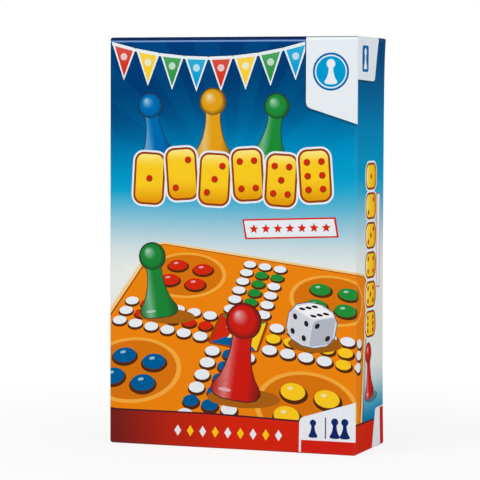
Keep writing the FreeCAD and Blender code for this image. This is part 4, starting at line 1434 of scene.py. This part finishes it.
def arc_points(middle, radius, start, end, count):
    """Points along an arc, its angles in degrees."""
    angles = [math.radians(start + (end - start) * k / count) for k in range(count + 1)]
    return [(middle[0] + radius * math.cos(a), middle[1] + radius * math.sin(a)) for a in angles]


flank_in, flank_up = PAWN_FOOT - PAWN_NECK, PAWN_NECK_START - PAWN_FOOT_TOP
flank = (flank_in ** 2 + flank_up ** 2) / (2 * flank_in)
flank_turn = math.degrees(math.asin(flank_up / flank))
head_start = -math.degrees(math.acos(PAWN_NECK / PAWN_HEAD))
outline = PAWN_HOLLOW + arc_points((PAWN_FOOT - PAWN_EDGE, PAWN_EDGE), PAWN_EDGE, -90, 0, 6)
outline += arc_points((PAWN_NECK + flank, PAWN_NECK_START), flank, 180 + flank_turn, 180, 16)
outline += arc_points((0.0, PAWN_TALL - PAWN_HEAD), PAWN_HEAD, head_start, 90, 22)
curve_data = bpy.data.curves.new("pawn_half", "CURVE")
curve_data.dimensions = "3D"
spline = curve_data.splines.new("POLY")
spline.points.add(len(outline) - 1)
for point, (out, height) in zip(spline.points, outline):
    point.co = (out * MM, height * MM, 0.0, 1.0)
print("pawn outline:", len(outline), "points")

# %% Geometry Nodes tree that turns a pawn
AXIS_RADIUS, WELD, UPRIGHT = 1e-6, 5e-6, (math.radians(-90.0), 0.0, 0.0)
turning = bpy.data.node_groups.new("turned_pawn", "GeometryNodeTree")
for label, kind in (("Half outline", "NodeSocketGeometry"), ("Sides", "NodeSocketInt"),
                    ("Place", "NodeSocketVector"), ("Plastic", "NodeSocketMaterial")):
    turning.interface.new_socket(label, in_out="INPUT", socket_type=kind)
turning.interface.new_socket("Pawn", in_out="OUTPUT", socket_type="NodeSocketGeometry")
took, gave = turning.nodes.new("NodeGroupInput").outputs, turning.nodes.new("NodeGroupOutput")
ring = add_node(turning, "GeometryNodeCurvePrimitiveCircle", {"Radius": AXIS_RADIUS,
                                                              "Resolution": took["Sides"]})
shape = add_node(turning, "GeometryNodeCurveToMesh", {"Curve": ring.outputs["Curve"],
                                                      "Profile Curve": took["Half outline"]})
for kind, inputs in (("MergeByDistance", {"Distance": WELD}), ("SetShadeSmooth", {}),
                     ("Transform", {"Rotation": UPRIGHT, "Translation": took["Place"]}),
                     ("RealizeInstances", {}), ("SetMaterial", {"Material": took["Plastic"]})):
    shape = add_node(turning, f"GeometryNode{kind}", {"Geometry": shape.outputs[0], **inputs})
feed(turning, gave, {"Pawn": shape.outputs["Geometry"]})
sockets = {item.name: item.identifier for item in turning.interface.items_tree if item.in_out == "INPUT"}
print("pawn tree inputs:", list(sockets))

# %% The sixteen pawns
PAWN_SIDES, PAWN_SHARP = 40, math.radians(40.0)


def turned_pawn(node, colour):
    """A pawn in the place of its CAD node, as a plain mesh."""
    low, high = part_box(node)
    maker = new_object("pawn_maker", curve_data)
    modifier = maker.modifiers.new("turning", "NODES")
    modifier.node_group = turning
    modifier[sockets["Sides"]] = PAWN_SIDES
    modifier[sockets["Place"]] = ((low.x + high.x) / 2, high.y, (low.z + high.z) / 2)
    modifier[sockets["Plastic"]] = pawn_plastics[colour]
    evaluated = maker.evaluated_get(bpy.context.evaluated_depsgraph_get())
    mesh = bpy.data.meshes.new_from_object(evaluated)
    maker.modifiers.remove(modifier)
    bpy.data.objects.remove(maker)
    work = bmesh.new()
    work.from_mesh(mesh)
    bmesh.ops.remove_doubles(work, verts=work.verts, dist=WELD)
    bmesh.ops.recalc_face_normals(work, faces=work.faces)
    work.to_mesh(mesh)
    work.free()
    mesh.set_sharp_from_angle(angle=PAWN_SHARP)
    piece = new_object(f"{node}_turned", mesh)
    stand_for(piece, node, node)
    return piece


pawns = [turned_pawn(f"pawn_{colour}_{number}", colour) for colour in PAWN_TONES for number in (1, 2, 3, 4)]
print("pawns:", len(pawns), "of", len(pawns[0].data.polygons), "faces")

# %% [markdown]
# ## Finishes of the carried-over solids
# The other solids are already the right shape, so they only get their materials: greyboard, tape, the
# formed tray, the die with its painted pips, and the board's cores and backings.

# %% Finishes
FINISHES = {"base_board": greyboard, "base_corner_tapes": gummed_tape, "insert_tray": tray_sheet,
            "die": die_plastic, "die_pips": pip_paint, "board_right_core": greyboard,
            "board_left_core": greyboard, "board_right_backing": backing_paper,
            "board_left_backing": backing_paper}
for node, material in FINISHES.items():
    nodes[node].material_slots[0].material = material
print("finished", len(FINISHES), "CAD nodes")
